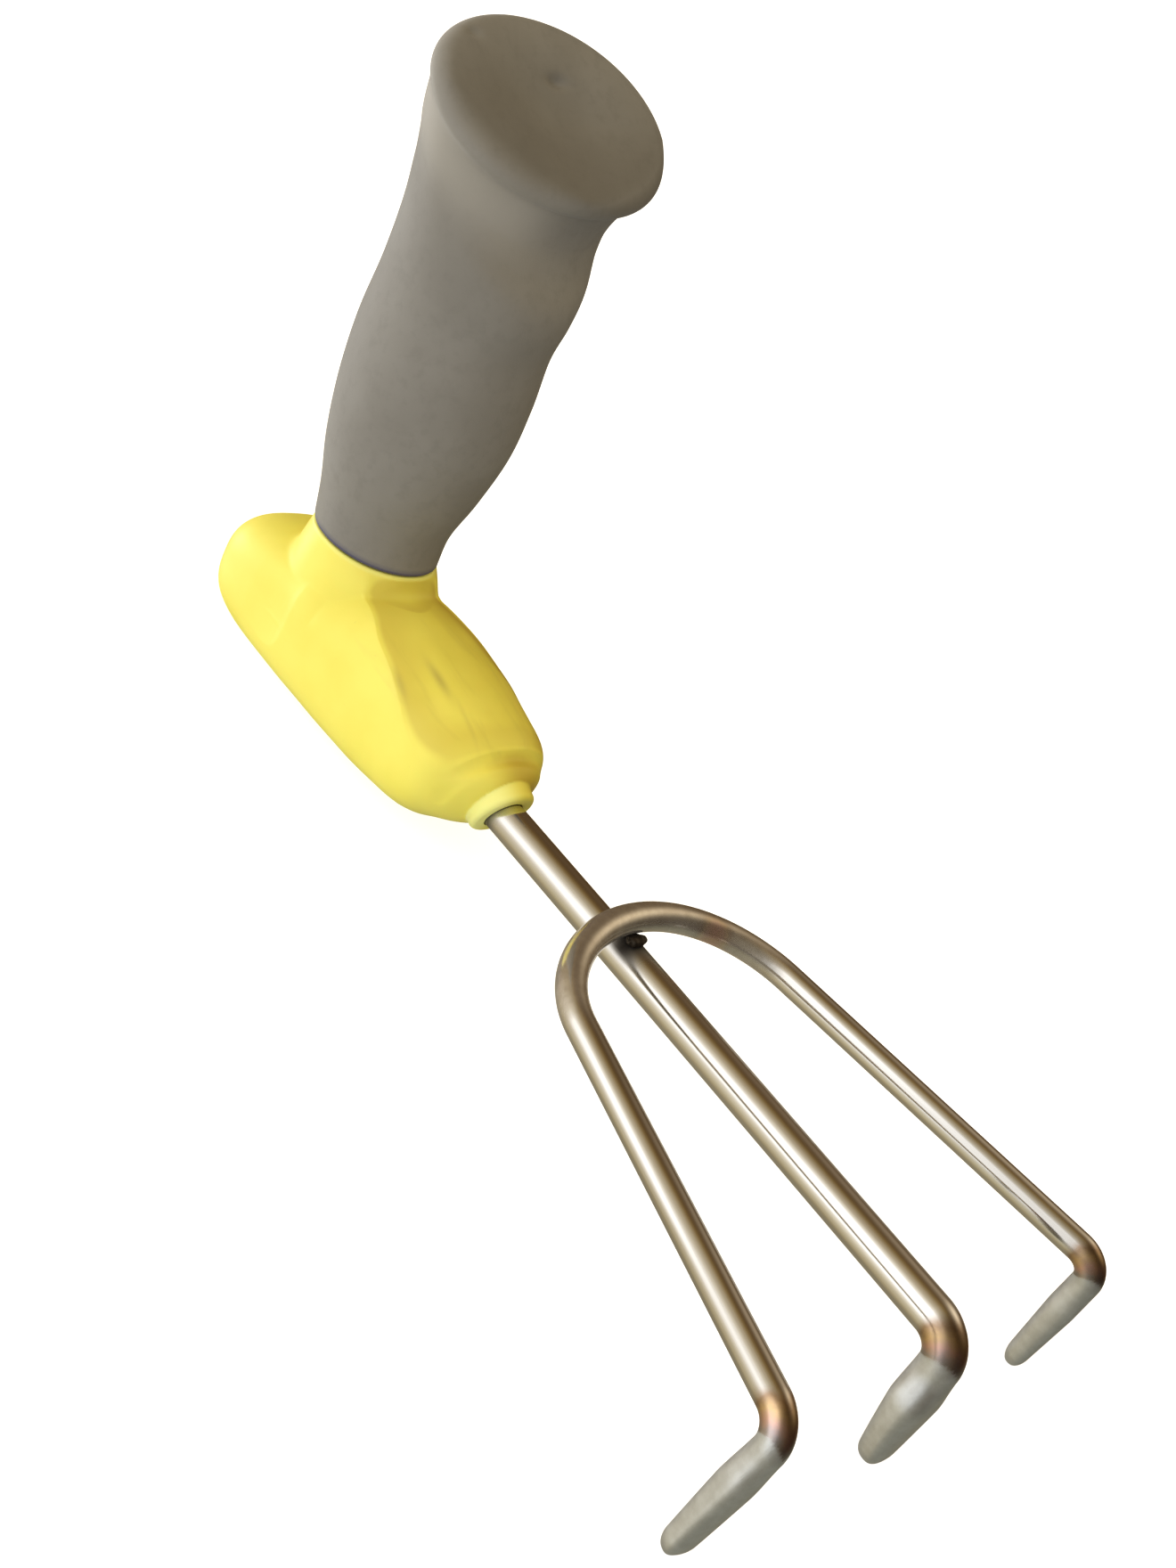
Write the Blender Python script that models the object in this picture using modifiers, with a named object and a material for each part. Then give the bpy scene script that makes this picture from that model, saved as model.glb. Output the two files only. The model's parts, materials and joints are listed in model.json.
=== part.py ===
"""Claw cultivator: a moulded handle body with an upright soft grip, and three forged steel tines.

Dimensions are in millimetres in the tool's own frame, and become metres where meshes are made.
+X runs along the steel rod towards the tines, +Y to the user's left, +Z up the grip. The origin
is where the rod leaves the ring on the nose. The whole tool is then tipped until it rests on its
three tips and its heel, over the middle of its own box.
"""
import math

import bmesh
import bpy
import numpy as np
from mathutils import Matrix, Vector

MM = 0.001
MERGE = 0.00001
GAP = 0.3
OBJECT_NAME = "claw_cultivator"

# Steel stock and the layout of the tines
ROD_RADIUS = 4.0
WIRE_RADIUS = 3.0
TINE_REACH = 134.2
TIP_DEPTH = 31.0
BEND_RADIUS = 6.5
OUTER_BEND_RADIUS = 5.5
OUTER_BEND_Y = 47.8
OUTER_BEND_Z = 1.2
OUTER_SPLAY = 0.24
OUTER_RISE = 0.047
TIP_SPLAY = 3.6
TIP_TUCK = 1.8
CENTRE_FOOT_FORWARD = 1.0

# Forged tips: half width where widest, half thickness at the end, and how much the width narrows
CENTRE_TIP = (5.7, 2.4, 0.42)
OUTER_TIP = (3.6, 2.1, 0.16)
TIP_SQUARENESS = 2.3

# Shares of a tip's length: its sections, where it is widest, and where its end starts to round off
TIP_STATIONS = (0.1, 0.2, 0.32, 0.48, 0.64, 0.78, 0.88, 0.94, 0.98, 1.0)
TIP_SWELL = 0.32
TIP_NOSE = 0.85
TIP_ROUNDING = 0.92

# The arch of the outer wire is half an oval, laid over the rod
ARCH_FRONT = 62.0
ARCH_LENGTH = 24.5
ARCH_HALF_WIDTH = 30.3
ARCH_LIFT = ROD_RADIUS + WIRE_RADIUS + GAP

# Weld beads in the two corners between the rod and the arch
WELD_OFFSET = 3.2
WELD_RISE = 0.5
WELD_HALF_SIZE = (1.9, 3.0, 1.5)
WELD_RELIEF = 15.0

# The rod's end inside the handle is pressed flat, so that it can't turn or pull out
ANCHOR_END = -58.0
ANCHOR_HALF_WIDTH = 6.4
ANCHOR_HALF_THICKNESS = 2.6
ANCHOR_LENGTH = 12.0
ANCHOR_EDGE = 1.0
ANCHOR_END_SHARE = 0.8
ANCHOR_RUN_OUT = 8.0
ANCHOR_HALFWAY = (1.15, 0.85)

# Ring moulded round the rod where it leaves the nose, with its mouth leaning forwards at the top
RING_RADIUS = 7.1
RING_MOUTH = -0.7
RING_LENGTH = 3.4
RING_ROOT = 4.0
RING_EDGE = 1.2
RING_LEAN = 20.0

# The bore runs on to just ahead of the ring's leaning mouth
BORE_END = 1.0

# The flat land under the handle body
LAND_Z = -12.4

# Handle body: distance along the rod, half width, height of the widest line, top, bottom; then
# where the side and the top meet, as shares of the half width and of the height above the widest
# line; then squareness above and below that line. They meet in a ridge that runs forwards from
# the neck and fades on the nose. Elsewhere that point lies on a plain rounded section.
BODY_STATIONS = (
    (-95.3, 4.6, -0.6, 2.4, -3.8, 0.73, 0.73, 2.2, 2.2),
    (-94.7, 8.8, -0.6, 5.6, -6.2, 0.749, 0.749, 2.4, 2.4),
    (-93.0, 12.0, -0.4, 8.6, -8.8, 0.766, 0.766, 2.6, 2.8),
    (-89.9, 14.6, 0.0, 10.9, -10.8, 0.781, 0.781, 2.8, 3.2),
    (-85.2, 16.1, 0.6, 12.4, -12.1, 0.794, 0.794, 3.0, 3.6),
    (-77.0, 16.9, 1.8, 13.8, -12.9, 0.794, 0.794, 3.0, 4.0),
    (-62.0, 17.3, 3.4, 16.2, -13.3, 0.7, 0.885, 3.2, 4.0),
    (-53.0, 17.3, 4.2, 17.4, -13.3, 0.6, 0.94, 1.8, 4.0),
    (-46.0, 17.3, 4.6, 17.8, -13.3, 0.66, 0.91, 1.7, 4.0),
    (-39.0, 17.3, 4.35, 17.5, -13.1, 0.80, 0.815, 1.8, 3.9),
    (-32.0, 17.3, 4.0, 17.1, -12.8, 0.865, 0.72, 1.9, 3.8),
    (-25.0, 17.25, 3.35, 16.5, -12.1, 0.925, 0.58, 2.1, 3.6),
    (-18.0, 17.2, 2.6, 15.5, -11.2, 0.965, 0.4, 2.4, 3.3),
    (-12.0, 16.5, 1.9, 13.8, -10.0, 0.94, 0.438, 2.4, 2.8),
    (-8.5, 14.4, 1.5, 11.9, -8.6, 0.88, 0.552, 2.3, 2.5),
    (-5.8, 11.5, 1.2, 10.0, -7.6, 0.80, 0.65, 2.2, 2.3),
    (-4.2, 9.0, 1.0, 8.6, -6.7, 0.75, 0.70, 2.1, 2.1),
    (-3.6, 7.7, 0.8, 7.6, -6.0, 0.707, 0.707, 2.0, 2.0),
)
BODY_RIDGE_TURN = math.radians(45.0)

# The end of the nose leans forwards at the top, as the ring does: how steeply, and over what run
NOSE_LEAN = 0.36
NOSE_RUN = 16.0

# Neck, flaring from the seam down into the handle body: height, centre, half depth, half width;
# where its front meets its sides, as shares of the half depth and half width; squareness in front
# and behind. The same ridges start here, just under the seam.
NECK_STATIONS = (
    (2.0, -62.2, 17.2, 16.0, 0.86, 0.765, 3.4, 2.8),
    (10.0, -62.5, 16.4, 15.7, 0.86, 0.741, 3.2, 2.5),
    (14.0, -63.2, 15.6, 15.2, 0.86, 0.71, 2.6, 2.35),
    (17.0, -63.95, 14.75, 14.6, 0.87, 0.71, 1.8, 2.25),
    (19.6, -64.5, 14.1, 14.1, 0.86, 0.69, 1.7, 2.15),
    (21.8, -64.8, 13.7, 13.8, 0.776, 0.655, 2.05, 2.05),
)
NECK_RIDGE_TURN = math.radians(40.0)

# Grip: height and place of the centre, half depth, half width, slope of the section in degrees
GRIP_STATIONS = (
    (22.1, -64.8, 13.9, 13.9, 0.0),
    (30.0, -66.3, 14.9, 14.6, 0.0),
    (40.0, -66.9, 17.7, 16.9, 0.0),
    (52.0, -67.4, 20.0, 18.6, 0.0),
    (64.0, -68.5, 20.6, 19.0, -3.0),
    (76.0, -69.3, 20.1, 18.6, -8.0),
    (86.0, -69.4, 21.0, 19.5, -15.0),
    (94.0, -70.4, 21.6, 20.8, -22.0),
    (101.0, -72.2, 20.0, 22.0, -28.0),
    (107.0, -72.6, 18.2, 24.0, -32.0),
)
HEM_EDGE = 0.5

# Flange on top of the grip: an oval rim round a shallow dish
FLANGE_HEIGHT = 115.5
FLANGE_CENTRE = -69.8
FLANGE_HALF_DEPTH = 20.0
FLANGE_HALF_WIDTH = 30.5
FLANGE_SLOPE = -34.0
FLANGE_EDGE = 3.4
FLANGE_UNDER = 2.0
DISH_DEPTH = 3.0
DISH_REACH = 1.1
DISH_SHARES = (0.93, 0.84, 0.7, 0.52, 0.32, 0.1)

# How far the dish's crest lies inside the rim, as a share, and how much more at the front corners
CREST_INSET = 0.1
CREST_CORNER = 0.15

# Core of the handle body inside the grip: height, centre, half depth, half width, slope
CORE_STATIONS = (
    (22.4, -64.8, 10.4, 10.4, 0.0),
    (32.0, -66.3, 11.4, 11.0, 0.0),
    (52.0, -67.4, 15.6, 14.4, 0.0),
    (70.0, -68.9, 16.0, 14.6, -5.0),
    (86.0, -69.4, 16.4, 15.2, -15.0),
    (97.0, -71.0, 15.6, 16.0, -25.0),
)

# Rounded top of the core: share of its last section, and lift
CORE_CROWN = ((0.8, 1.6), (0.35, 2.4))

# How far the level ovals of the grip and the core are squared off, with 2 for a plain oval
GRIP_SQUARENESS = 2.05

# Fineness of the facets
ROW_STEPS = 3
GRIP_SEGMENTS = 36
RING_SEGMENTS = 36
BODY_SEGMENTS = 40
STEEL_SEGMENTS = 14
ROD_STEPS = 12
ARCH_STEPS = 14
LEG_STEPS = 8
BEND_STEPS = 8
WELD_SEGMENTS = (16, 10)


def smooth_rows(rows):
    """Rows on a smooth curve through the given rows, with ROW_STEPS from each to the next."""
    rows = np.array(rows, float)
    padded = np.vstack([2 * rows[0] - rows[1], rows, 2 * rows[-1] - rows[-2]])
    result = []
    for a, b, c, d in zip(padded, padded[1:], padded[2:], padded[3:]):
        for step in range(ROW_STEPS):
            t = step / ROW_STEPS
            bend = (2 * a - 5 * b + 4 * c - d) * t ** 2 + (3 * b - a - 3 * c + d) * t ** 3
            result.append((0.5 * (2 * b + (c - a) * t + bend)).tolist())
    return result + [rows[-1].tolist()]


def rounded(angle, power):
    """Cosine and sine of an angle, squared off by a power above 2."""
    c, s = math.cos(angle), math.sin(angle)
    return (math.copysign(abs(c) ** (2 / power), c), math.copysign(abs(s) ** (2 / power), s))


def ridged(angle, out, up, power, turn):
    """Cosine and sine of an angle on two arcs that meet at the point (out, up), at the angle turn."""
    c, s = math.cos(angle), math.sin(angle)
    if abs(s) * math.cos(turn) < abs(c) * math.sin(turn):
        share = abs(s) / math.sin(turn)
        x, y = (1 - (1 - out ** power) * share ** power) ** (1 / power), up * share
    else:
        share = abs(c) / math.cos(turn)
        x, y = out * share, (1 - (1 - up ** power) * share ** power) ** (1 / power)
    return (math.copysign(x, c), math.copysign(y, s))


def angles(count):
    return [2 * math.pi * i / count for i in range(count)]


def upright_ring(height, centre, half_depth, half_width, slope=0.0, lift=0.0):
    """An oval round the grip's axis, sloping forwards, and lifted square to its own plane."""
    tilt = math.radians(slope)
    forward = Vector((math.cos(tilt), 0, math.sin(tilt)))
    normal = Vector((-math.sin(tilt), 0, math.cos(tilt)))
    middle = Vector((centre, 0, height)) + lift * normal
    ring = []
    for angle in angles(GRIP_SEGMENTS):
        c, s = rounded(angle, GRIP_SQUARENESS)
        ring.append(middle + half_depth * c * forward + Vector((0, half_width * s, 0)))
    return ring


def body_ring(x, half_width, middle, top, bottom, out, up, power_up, power_down):
    """A cross section of the handle body, with its underside cut off at the flat land."""
    lean = NOSE_LEAN * max(0.0, 1 + x / NOSE_RUN)
    ring = []
    for angle in angles(BODY_SEGMENTS):
        if math.sin(angle) > 0:
            c, s = ridged(angle, out, up, power_up, BODY_RIDGE_TURN)
            z = middle + s * (top - middle)
        else:
            c, s = rounded(angle, power_down)
            z = max(middle + s * (middle - bottom), LAND_Z)
        ring.append(Vector((x + lean * z, half_width * c, z)))
    return ring


def neck_ring(height, centre, half_depth, half_width, out, aside, power_front, power_back):
    """A level section of the neck, with a ridge on each side of its front."""
    ring = []
    for angle in angles(GRIP_SEGMENTS):
        if math.cos(angle) > 0:
            c, s = ridged(angle, out, aside, power_front, NECK_RIDGE_TURN)
        else:
            c, s = rounded(angle, power_back)
        ring.append(Vector((centre + half_depth * c, half_width * s, height)))
    return ring


def skin(name, rings, close_start=True, close_end=True):
    """A loft through rings with the same number of points."""
    bm = bmesh.new()
    loops = [[bm.verts.new(point * MM) for point in ring] for ring in rings]
    for one, two in zip(loops, loops[1:]):
        for i in range(len(one)):
            j = (i + 1) % len(one)
            bm.faces.new((one[i], one[j], two[j], two[i]))
    if close_start:
        bm.faces.new(loops[0][::-1])
    if close_end:
        bm.faces.new(loops[-1])
    bmesh.ops.recalc_face_normals(bm, faces=bm.faces)
    mesh = bpy.data.meshes.new(name)
    bm.to_mesh(mesh)
    bm.free()
    obj = bpy.data.objects.new(name, mesh)
    mesh.shade_smooth()
    return obj


def material(name, colour, roughness, metallic=0.0):
    """A Principled material in linear colour."""
    mat = bpy.data.materials.new(name)
    mat.use_nodes = True
    shader = mat.node_tree.nodes["Principled BSDF"]
    shader.inputs["Base Color"].default_value = (*colour, 1.0)
    shader.inputs["Roughness"].default_value = roughness
    shader.inputs["Metallic"].default_value = metallic
    mat.diffuse_color = (*colour, 1.0)
    return mat


def add_part(collection, frame, obj, mat):
    """Put an object into the tool, in the tool's frame."""
    collection.objects.link(obj)
    obj.parent = frame
    obj.data.materials.clear()
    obj.data.materials.append(mat)
    return obj


def add_cutter(collection, frame, obj):
    """Keep a cutter out of the tool and out of renders."""
    collection.objects.link(obj)
    obj.parent = frame
    obj.hide_render = True
    obj.display_type = "WIRE"
    return obj


def boolean(obj, other, operation):
    """Join or cut with another object, kept as a live modifier."""
    mod = obj.modifiers.new(other.name, "BOOLEAN")
    mod.operation = operation
    mod.solver = "EXACT"
    mod.object = other
    return mod


def fillet(corner, direction_in, direction_out, radius, steps):
    """Points of an arc that rounds the corner between two directions."""
    turn = direction_in.angle(direction_out)
    inward = (direction_out - direction_in * direction_in.dot(direction_out)).normalized()
    start = corner - direction_in * radius * math.tan(turn / 2)
    points = []
    for step in range(steps + 1):
        angle = turn * step / steps
        points.append(start + radius * (math.sin(angle) * direction_in + (1 - math.cos(angle)) * inward))
    return points


def section_ring(point, tangent, across, half_across, half_through, power=2.0):
    """An oval section square to a path, with its wide side along a level direction."""
    side = (across - tangent * across.dot(tangent)).normalized()
    through = tangent.cross(side)
    ring = []
    for angle in angles(STEEL_SEGMENTS):
        c, s = rounded(angle, power)
        ring.append(point + half_across * c * side + half_through * s * through)
    return ring


def tip_rings(start, foot, across, radius, spread, chisel, taper):
    """Forged tine below its bend: it spreads sideways, then thins and tapers to a rounded end."""
    path = foot - start
    tangent = path.normalized()
    rings = []
    for along in TIP_STATIONS:
        swell = min(1.0, along / TIP_SWELL)
        late = max(0.0, along - TIP_SWELL) / (1 - TIP_SWELL)
        last = max(0.0, along - TIP_NOSE) / (1 - TIP_NOSE)
        close = math.sqrt(1 - (TIP_ROUNDING * last) ** 2)
        half_across = (radius + (spread - radius) * swell - taper * spread * late ** 2) * close
        half_through = (radius + (chisel - radius) * late) * close
        centre = start + along * path
        rings.append(section_ring(centre, tangent, across, half_across, half_through, TIP_SQUARENESS))
    return rings


def anchor_profile():
    """The rod inside the handle: distance along it, half width and half thickness."""
    flat_end = ANCHOR_END + ANCHOR_LENGTH
    wider, thinner = ANCHOR_HALFWAY
    end = (ANCHOR_END_SHARE * ANCHOR_HALF_WIDTH, ANCHOR_END_SHARE * ANCHOR_HALF_THICKNESS)
    return (
        (ANCHOR_END, *end),
        (ANCHOR_END + ANCHOR_EDGE, ANCHOR_HALF_WIDTH, ANCHOR_HALF_THICKNESS),
        (flat_end, ANCHOR_HALF_WIDTH, ANCHOR_HALF_THICKNESS),
        (flat_end + 0.5 * ANCHOR_RUN_OUT, wider * ROD_RADIUS, thinner * ROD_RADIUS),
        (flat_end + ANCHOR_RUN_OUT, ROD_RADIUS, ROD_RADIUS),
    )


def rod_rings(profile, grow=0.0):
    """Sections of the straight rod, or of the bore round it."""
    level = Vector((0, 1, 0))
    along = Vector((1, 0, 0))
    return [section_ring(Vector((x, 0, 0)), along, level, wide + grow, thick + grow)
            for x, wide, thick in profile]


def make_centre_tine():
    """One rod from its anchor in the handle to the bend and the forged centre tip."""
    level, along, down = Vector((0, 1, 0)), Vector((1, 0, 0)), Vector((0, 0, -1))
    rings = rod_rings(anchor_profile())
    corner = Vector((TINE_REACH, 0, 0))
    bend = fillet(corner, along, down, BEND_RADIUS, BEND_STEPS)
    run = bend[0].x
    rings += rod_rings([(run * i / ROD_STEPS, ROD_RADIUS, ROD_RADIUS) for i in range(ROD_STEPS)])
    for i, point in enumerate(bend):
        angle = 0.5 * math.pi * i / BEND_STEPS
        tangent = math.cos(angle) * along + math.sin(angle) * down
        rings.append(section_ring(point, tangent, level, ROD_RADIUS, ROD_RADIUS))
    foot = Vector((TINE_REACH + CENTRE_FOOT_FORWARD, 0, -TIP_DEPTH))
    rings += tip_rings(bend[-1], foot, level, ROD_RADIUS, *CENTRE_TIP)
    return skin("centre_tine", rings)


def leg_height(x):
    """Height of the wire's legs above the rod's axis: they rise from the bend to the arch."""
    return OUTER_BEND_Z + OUTER_RISE * (TINE_REACH - x)


def outer_path():
    """Centre line of half the outer wire, from the crossing to the bend, and the foot of its tip."""
    sweep = math.atan2(ARCH_HALF_WIDTH, ARCH_LENGTH * OUTER_SPLAY)
    crest = ARCH_LIFT - leg_height(ARCH_FRONT - ARCH_LENGTH)
    arch = []
    for i in range(ARCH_STEPS + 1):
        angle = sweep * i / ARCH_STEPS
        x = ARCH_FRONT - ARCH_LENGTH * math.cos(angle)
        lift = 0.5 + 0.5 * math.cos(math.pi * i / ARCH_STEPS)
        arch.append(Vector((x, -ARCH_HALF_WIDTH * math.sin(angle), leg_height(x) + lift * crest)))
    corner = Vector((TINE_REACH, -OUTER_BEND_Y, OUTER_BEND_Z))
    foot = Vector((TINE_REACH - TIP_TUCK, -OUTER_BEND_Y - TIP_SPLAY, -TIP_DEPTH))
    leg = (corner - arch[-1]).normalized()
    bend = fillet(corner, leg, (foot - corner).normalized(), OUTER_BEND_RADIUS, BEND_STEPS)
    straight = [arch[-1].lerp(bend[0], i / LEG_STEPS) for i in range(1, LEG_STEPS)]
    return arch + straight + bend, foot


def make_outer_tines():
    """Half of the arched wire with its forged tip, mirrored across the rod."""
    path, foot = outer_path()
    up = Vector((0, 0, 1))
    rings = []
    for i, point in enumerate(path):
        if i == 0:
            tangent = Vector((0, -1, 0))
        elif i == len(path) - 1:
            tangent = (foot - point).normalized()
        else:
            tangent = (path[i + 1] - path[i - 1]).normalized()
        if i < len(path) - BEND_STEPS:
            level = up.cross(tangent).normalized()
        rings.append(section_ring(point, tangent, level, WIRE_RADIUS, WIRE_RADIUS))
    rings += tip_rings(path[-1], foot, level, WIRE_RADIUS, *OUTER_TIP)
    obj = skin("outer_tines", rings, close_start=False)
    mirror = obj.modifiers.new("both_sides", "MIRROR")
    mirror.use_axis = (False, True, False)
    mirror.merge_threshold = MERGE
    return obj


def core_rings(grow=0.0):
    """The core from its foot to its crown, or with grow the hollow of the sleeve round it."""
    rows = smooth_rows(CORE_STATIONS)
    rings = [upright_ring(h, c, d + grow, w + grow, slope) for h, c, d, w, slope in rows]
    h, c, d, w, slope = rows[-1]
    for share, lift in CORE_CROWN:
        rings.append(upright_ring(h, c, share * d + grow, share * w + grow, slope, lift + grow))
    return rings


def make_grip():
    """Soft sleeve: one skin from the top of its hollow, down inside, round the hem and up outside."""
    hollow = core_rings(GAP)
    height, centre, depth, width, _ = GRIP_STATIONS[0]
    _, core_centre, core_depth, core_width, _ = CORE_STATIONS[0]
    hem = [
        upright_ring(height, core_centre, core_depth + GAP, core_width + GAP),
        upright_ring(height, centre, depth - HEM_EDGE, width - HEM_EDGE),
        upright_ring(height + HEM_EDGE, centre, depth, width),
    ]
    outside = [upright_ring(*row) for row in smooth_rows(GRIP_STATIONS)[1:]]
    return skin("grip_sleeve", hollow[:0:-1] + hem + outside + flange_rings())


def flange_ring(inset, lift, share=1.0):
    """A ring of the flange in its sloping plane, from the rim at inset 0 to the crest at inset 1."""
    size = (share * FLANGE_HALF_DEPTH, share * FLANGE_HALF_WIDTH)
    oval = upright_ring(FLANGE_HEIGHT, FLANGE_CENTRE, *size, FLANGE_SLOPE, lift)
    middle = sum(oval, Vector()) / len(oval)
    ring = []
    for angle, point in zip(angles(GRIP_SEGMENTS), oval):
        corner = 2 * max(0.0, math.cos(angle)) * abs(math.sin(angle))
        ring.append(point.lerp(middle, inset * (CREST_INSET + CREST_CORNER * corner)))
    return ring


def flange_rings():
    """Rounded rim of the flange, its crest, and the dish inside that."""
    rings = []
    for step in range(-2, 4):
        turn = math.radians(30 * step)
        if step < 0:
            inset = FLANGE_EDGE * (1 - math.cos(turn))
            size = (FLANGE_HALF_DEPTH - inset, FLANGE_HALF_WIDTH - inset)
            place = (FLANGE_HEIGHT, FLANGE_CENTRE)
            rings.append(upright_ring(*place, *size, FLANGE_SLOPE, FLANGE_UNDER * math.sin(turn)))
        else:
            rings.append(flange_ring(1 - math.cos(turn), FLANGE_EDGE * math.sin(turn)))
    for share in DISH_SHARES:
        lift = FLANGE_EDGE - DISH_DEPTH * (0.5 + 0.5 * math.cos(math.pi * min(1.0, share * DISH_REACH)))
        rings.append(flange_ring(1.0, lift, share))
    return rings


def make_neck_and_core():
    """Neck under the grip and the core inside it, in one loft with a ledge for the hem."""
    rings = [neck_ring(*row) for row in smooth_rows(NECK_STATIONS)]
    _, centre, depth, width, _ = CORE_STATIONS[0]
    rings.append(upright_ring(NECK_STATIONS[-1][0], centre, depth, width))
    return skin("neck_and_core", rings + core_rings())


def make_nose_ring():
    """The ring round the rod, turned from its profile."""
    bm = bmesh.new()
    inner = 0.5 * ROD_RADIUS
    root = -RING_LENGTH - RING_ROOT
    outline = [(root, inner), (0.0, inner)]
    for step in range(5):
        angle = math.radians(22.5 * step)
        outline.append((RING_EDGE * (math.cos(angle) - 1), RING_RADIUS - RING_EDGE * (1 - math.sin(angle))))
    outline += [(-RING_LENGTH, RING_RADIUS), (root, RING_RADIUS - RING_EDGE)]
    verts = [bm.verts.new((x * MM, 0, r * MM)) for x, r in outline]
    for one, two in zip(verts, verts[1:] + verts[:1]):
        bm.edges.new((one, two))
    mesh = bpy.data.meshes.new("nose_ring")
    bm.to_mesh(mesh)
    bm.free()
    obj = bpy.data.objects.new("nose_ring", mesh)
    obj.location.x = RING_MOUTH * MM
    obj.rotation_euler.y = math.radians(RING_LEAN)
    screw = obj.modifiers.new("turn", "SCREW")
    screw.axis = "X"
    screw.steps = RING_SEGMENTS
    screw.render_steps = RING_SEGMENTS
    screw.use_merge_vertices = True
    screw.merge_threshold = MERGE
    screw.use_normal_calculate = True
    return obj


def make_handle_body(cutters, frame):
    """Heel and nose, joined with the neck and core and the ring, and bored for the rod."""
    rings = [body_ring(*row) for row in smooth_rows(BODY_STATIONS)]
    obj = skin("handle_body", rings)
    neck = add_cutter(cutters, frame, make_neck_and_core())
    ring = add_cutter(cutters, frame, make_nose_ring())
    profile = list(anchor_profile()) + [(BORE_END, ROD_RADIUS, ROD_RADIUS)]
    first = profile[0]
    profile[0] = (first[0] - GAP, first[1], first[2])
    bore = add_cutter(cutters, frame, skin("rod_bore", rod_rings(profile, GAP)))
    boolean(obj, neck, "UNION")
    boolean(obj, ring, "UNION")
    boolean(obj, bore, "DIFFERENCE")
    return obj


def make_weld(name, side, cutters, frame):
    """A bead in the corner between rod and wire, hollowed to sit a hair off both."""
    crossing = ARCH_FRONT - ARCH_LENGTH
    bm = bmesh.new()
    around, high = WELD_SEGMENTS
    bmesh.ops.create_uvsphere(bm, u_segments=around, v_segments=high, radius=1.0)
    place = Vector((crossing + side * WELD_OFFSET, 0, ROD_RADIUS + WELD_RISE)) * MM
    size = Matrix.Diagonal([half * MM for half in WELD_HALF_SIZE]).to_4x4()
    bmesh.ops.transform(bm, matrix=Matrix.Translation(place) @ size, verts=bm.verts)
    mesh = bpy.data.meshes.new(name)
    bm.to_mesh(mesh)
    bm.free()
    mesh.shade_smooth()
    obj = bpy.data.objects.new(name, mesh)
    ends = [(crossing + reach, ROD_RADIUS, ROD_RADIUS) for reach in (-WELD_RELIEF, WELD_RELIEF)]
    rod = skin(name + "_rod_relief", rod_rings(ends, GAP))
    boolean(obj, add_cutter(cutters, frame, rod), "DIFFERENCE")
    level, radius = Vector((1, 0, 0)), WIRE_RADIUS + GAP
    wire = [section_ring(point, (after - before).normalized(), level, radius, radius)
            for before, point, after in arch_triples()]
    relief = skin(name + "_wire_relief", wire)
    boolean(obj, add_cutter(cutters, frame, relief), "DIFFERENCE")
    return obj


def arch_triples():
    """Each point of the arch near the crossing, with the points before and after it."""
    half = outer_path()[0][:6]
    other = [Vector((p.x, -p.y, p.z)) for p in half[:0:-1]]
    line = other + half
    return list(zip(line, line[1:], line[2:]))


def settle(frame, parts):
    """Tip the frame until tips and heel are level, and stand it on z = 0 over its middle."""
    bpy.context.view_layer.update()
    graph = bpy.context.evaluated_depsgraph_get()
    clouds = []
    for obj in parts:
        mesh = obj.evaluated_get(graph).data
        flat = np.empty(3 * len(mesh.vertices))
        mesh.vertices.foreach_get("co", flat)
        clouds.append(flat.reshape(-1, 3))
    points = np.vstack(clouds)
    pitch = 0.0
    for _ in range(8):
        turn = np.array(Matrix.Rotation(-pitch, 3, "Y"))
        world = points @ turn.T
        front = world[world[:, 0] > 0]
        back = world[world[:, 0] < 0]
        low_front, low_back = front[front[:, 2].argmin()], back[back[:, 2].argmin()]
        pitch += math.atan2(low_back[2] - low_front[2], low_front[0] - low_back[0])
    low, high = world.min(axis=0), world.max(axis=0)
    frame.rotation_euler = (0, -pitch, 0)
    frame.location = (-0.5 * (low[0] + high[0]), 0, -low[2])
    bpy.context.view_layer.update()


def main():
    for obj in list(bpy.data.objects):
        bpy.data.objects.remove(obj, do_unlink=True)
    scene = bpy.context.scene
    tool = bpy.data.collections.new(OBJECT_NAME)
    cutters = bpy.data.collections.new("cutters")
    scene.collection.children.link(tool)
    scene.collection.children.link(cutters)
    frame = bpy.data.objects.new("tool_frame", None)
    tool.objects.link(frame)

    rubber = material("soft_grip", (0.19, 0.175, 0.145), 0.75)
    yellow = material("yellow_moulding", (0.86, 0.74, 0.11), 0.4)
    steel = material("polished_steel", (0.62, 0.59, 0.54), 0.22, 1.0)
    bead = material("weld_metal", (0.38, 0.34, 0.29), 0.45, 1.0)

    parts = [
        add_part(tool, frame, make_handle_body(cutters, frame), yellow),
        add_part(tool, frame, make_grip(), rubber),
        add_part(tool, frame, make_centre_tine(), steel),
        add_part(tool, frame, make_outer_tines(), steel),
        add_part(tool, frame, make_weld("weld_front", 1, cutters, frame), bead),
        add_part(tool, frame, make_weld("weld_rear", -1, cutters, frame), bead),
    ]
    settle(frame, parts)


main()
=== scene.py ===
"""Looks of the claw cultivator: fine surfaces, finishes, studio and camera.

Shapes are in millimetres in the tool's own frame: +X runs along the rod towards the tines, +Y
to the user's left, +Z up the grip, and the origin is where the rod leaves the ring on the nose.
The mount under the handle body tells how that frame stands in the world.
"""
import json
import math

import bmesh
import bpy
import numpy as np
from mathutils import Matrix, Vector, noise


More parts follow.
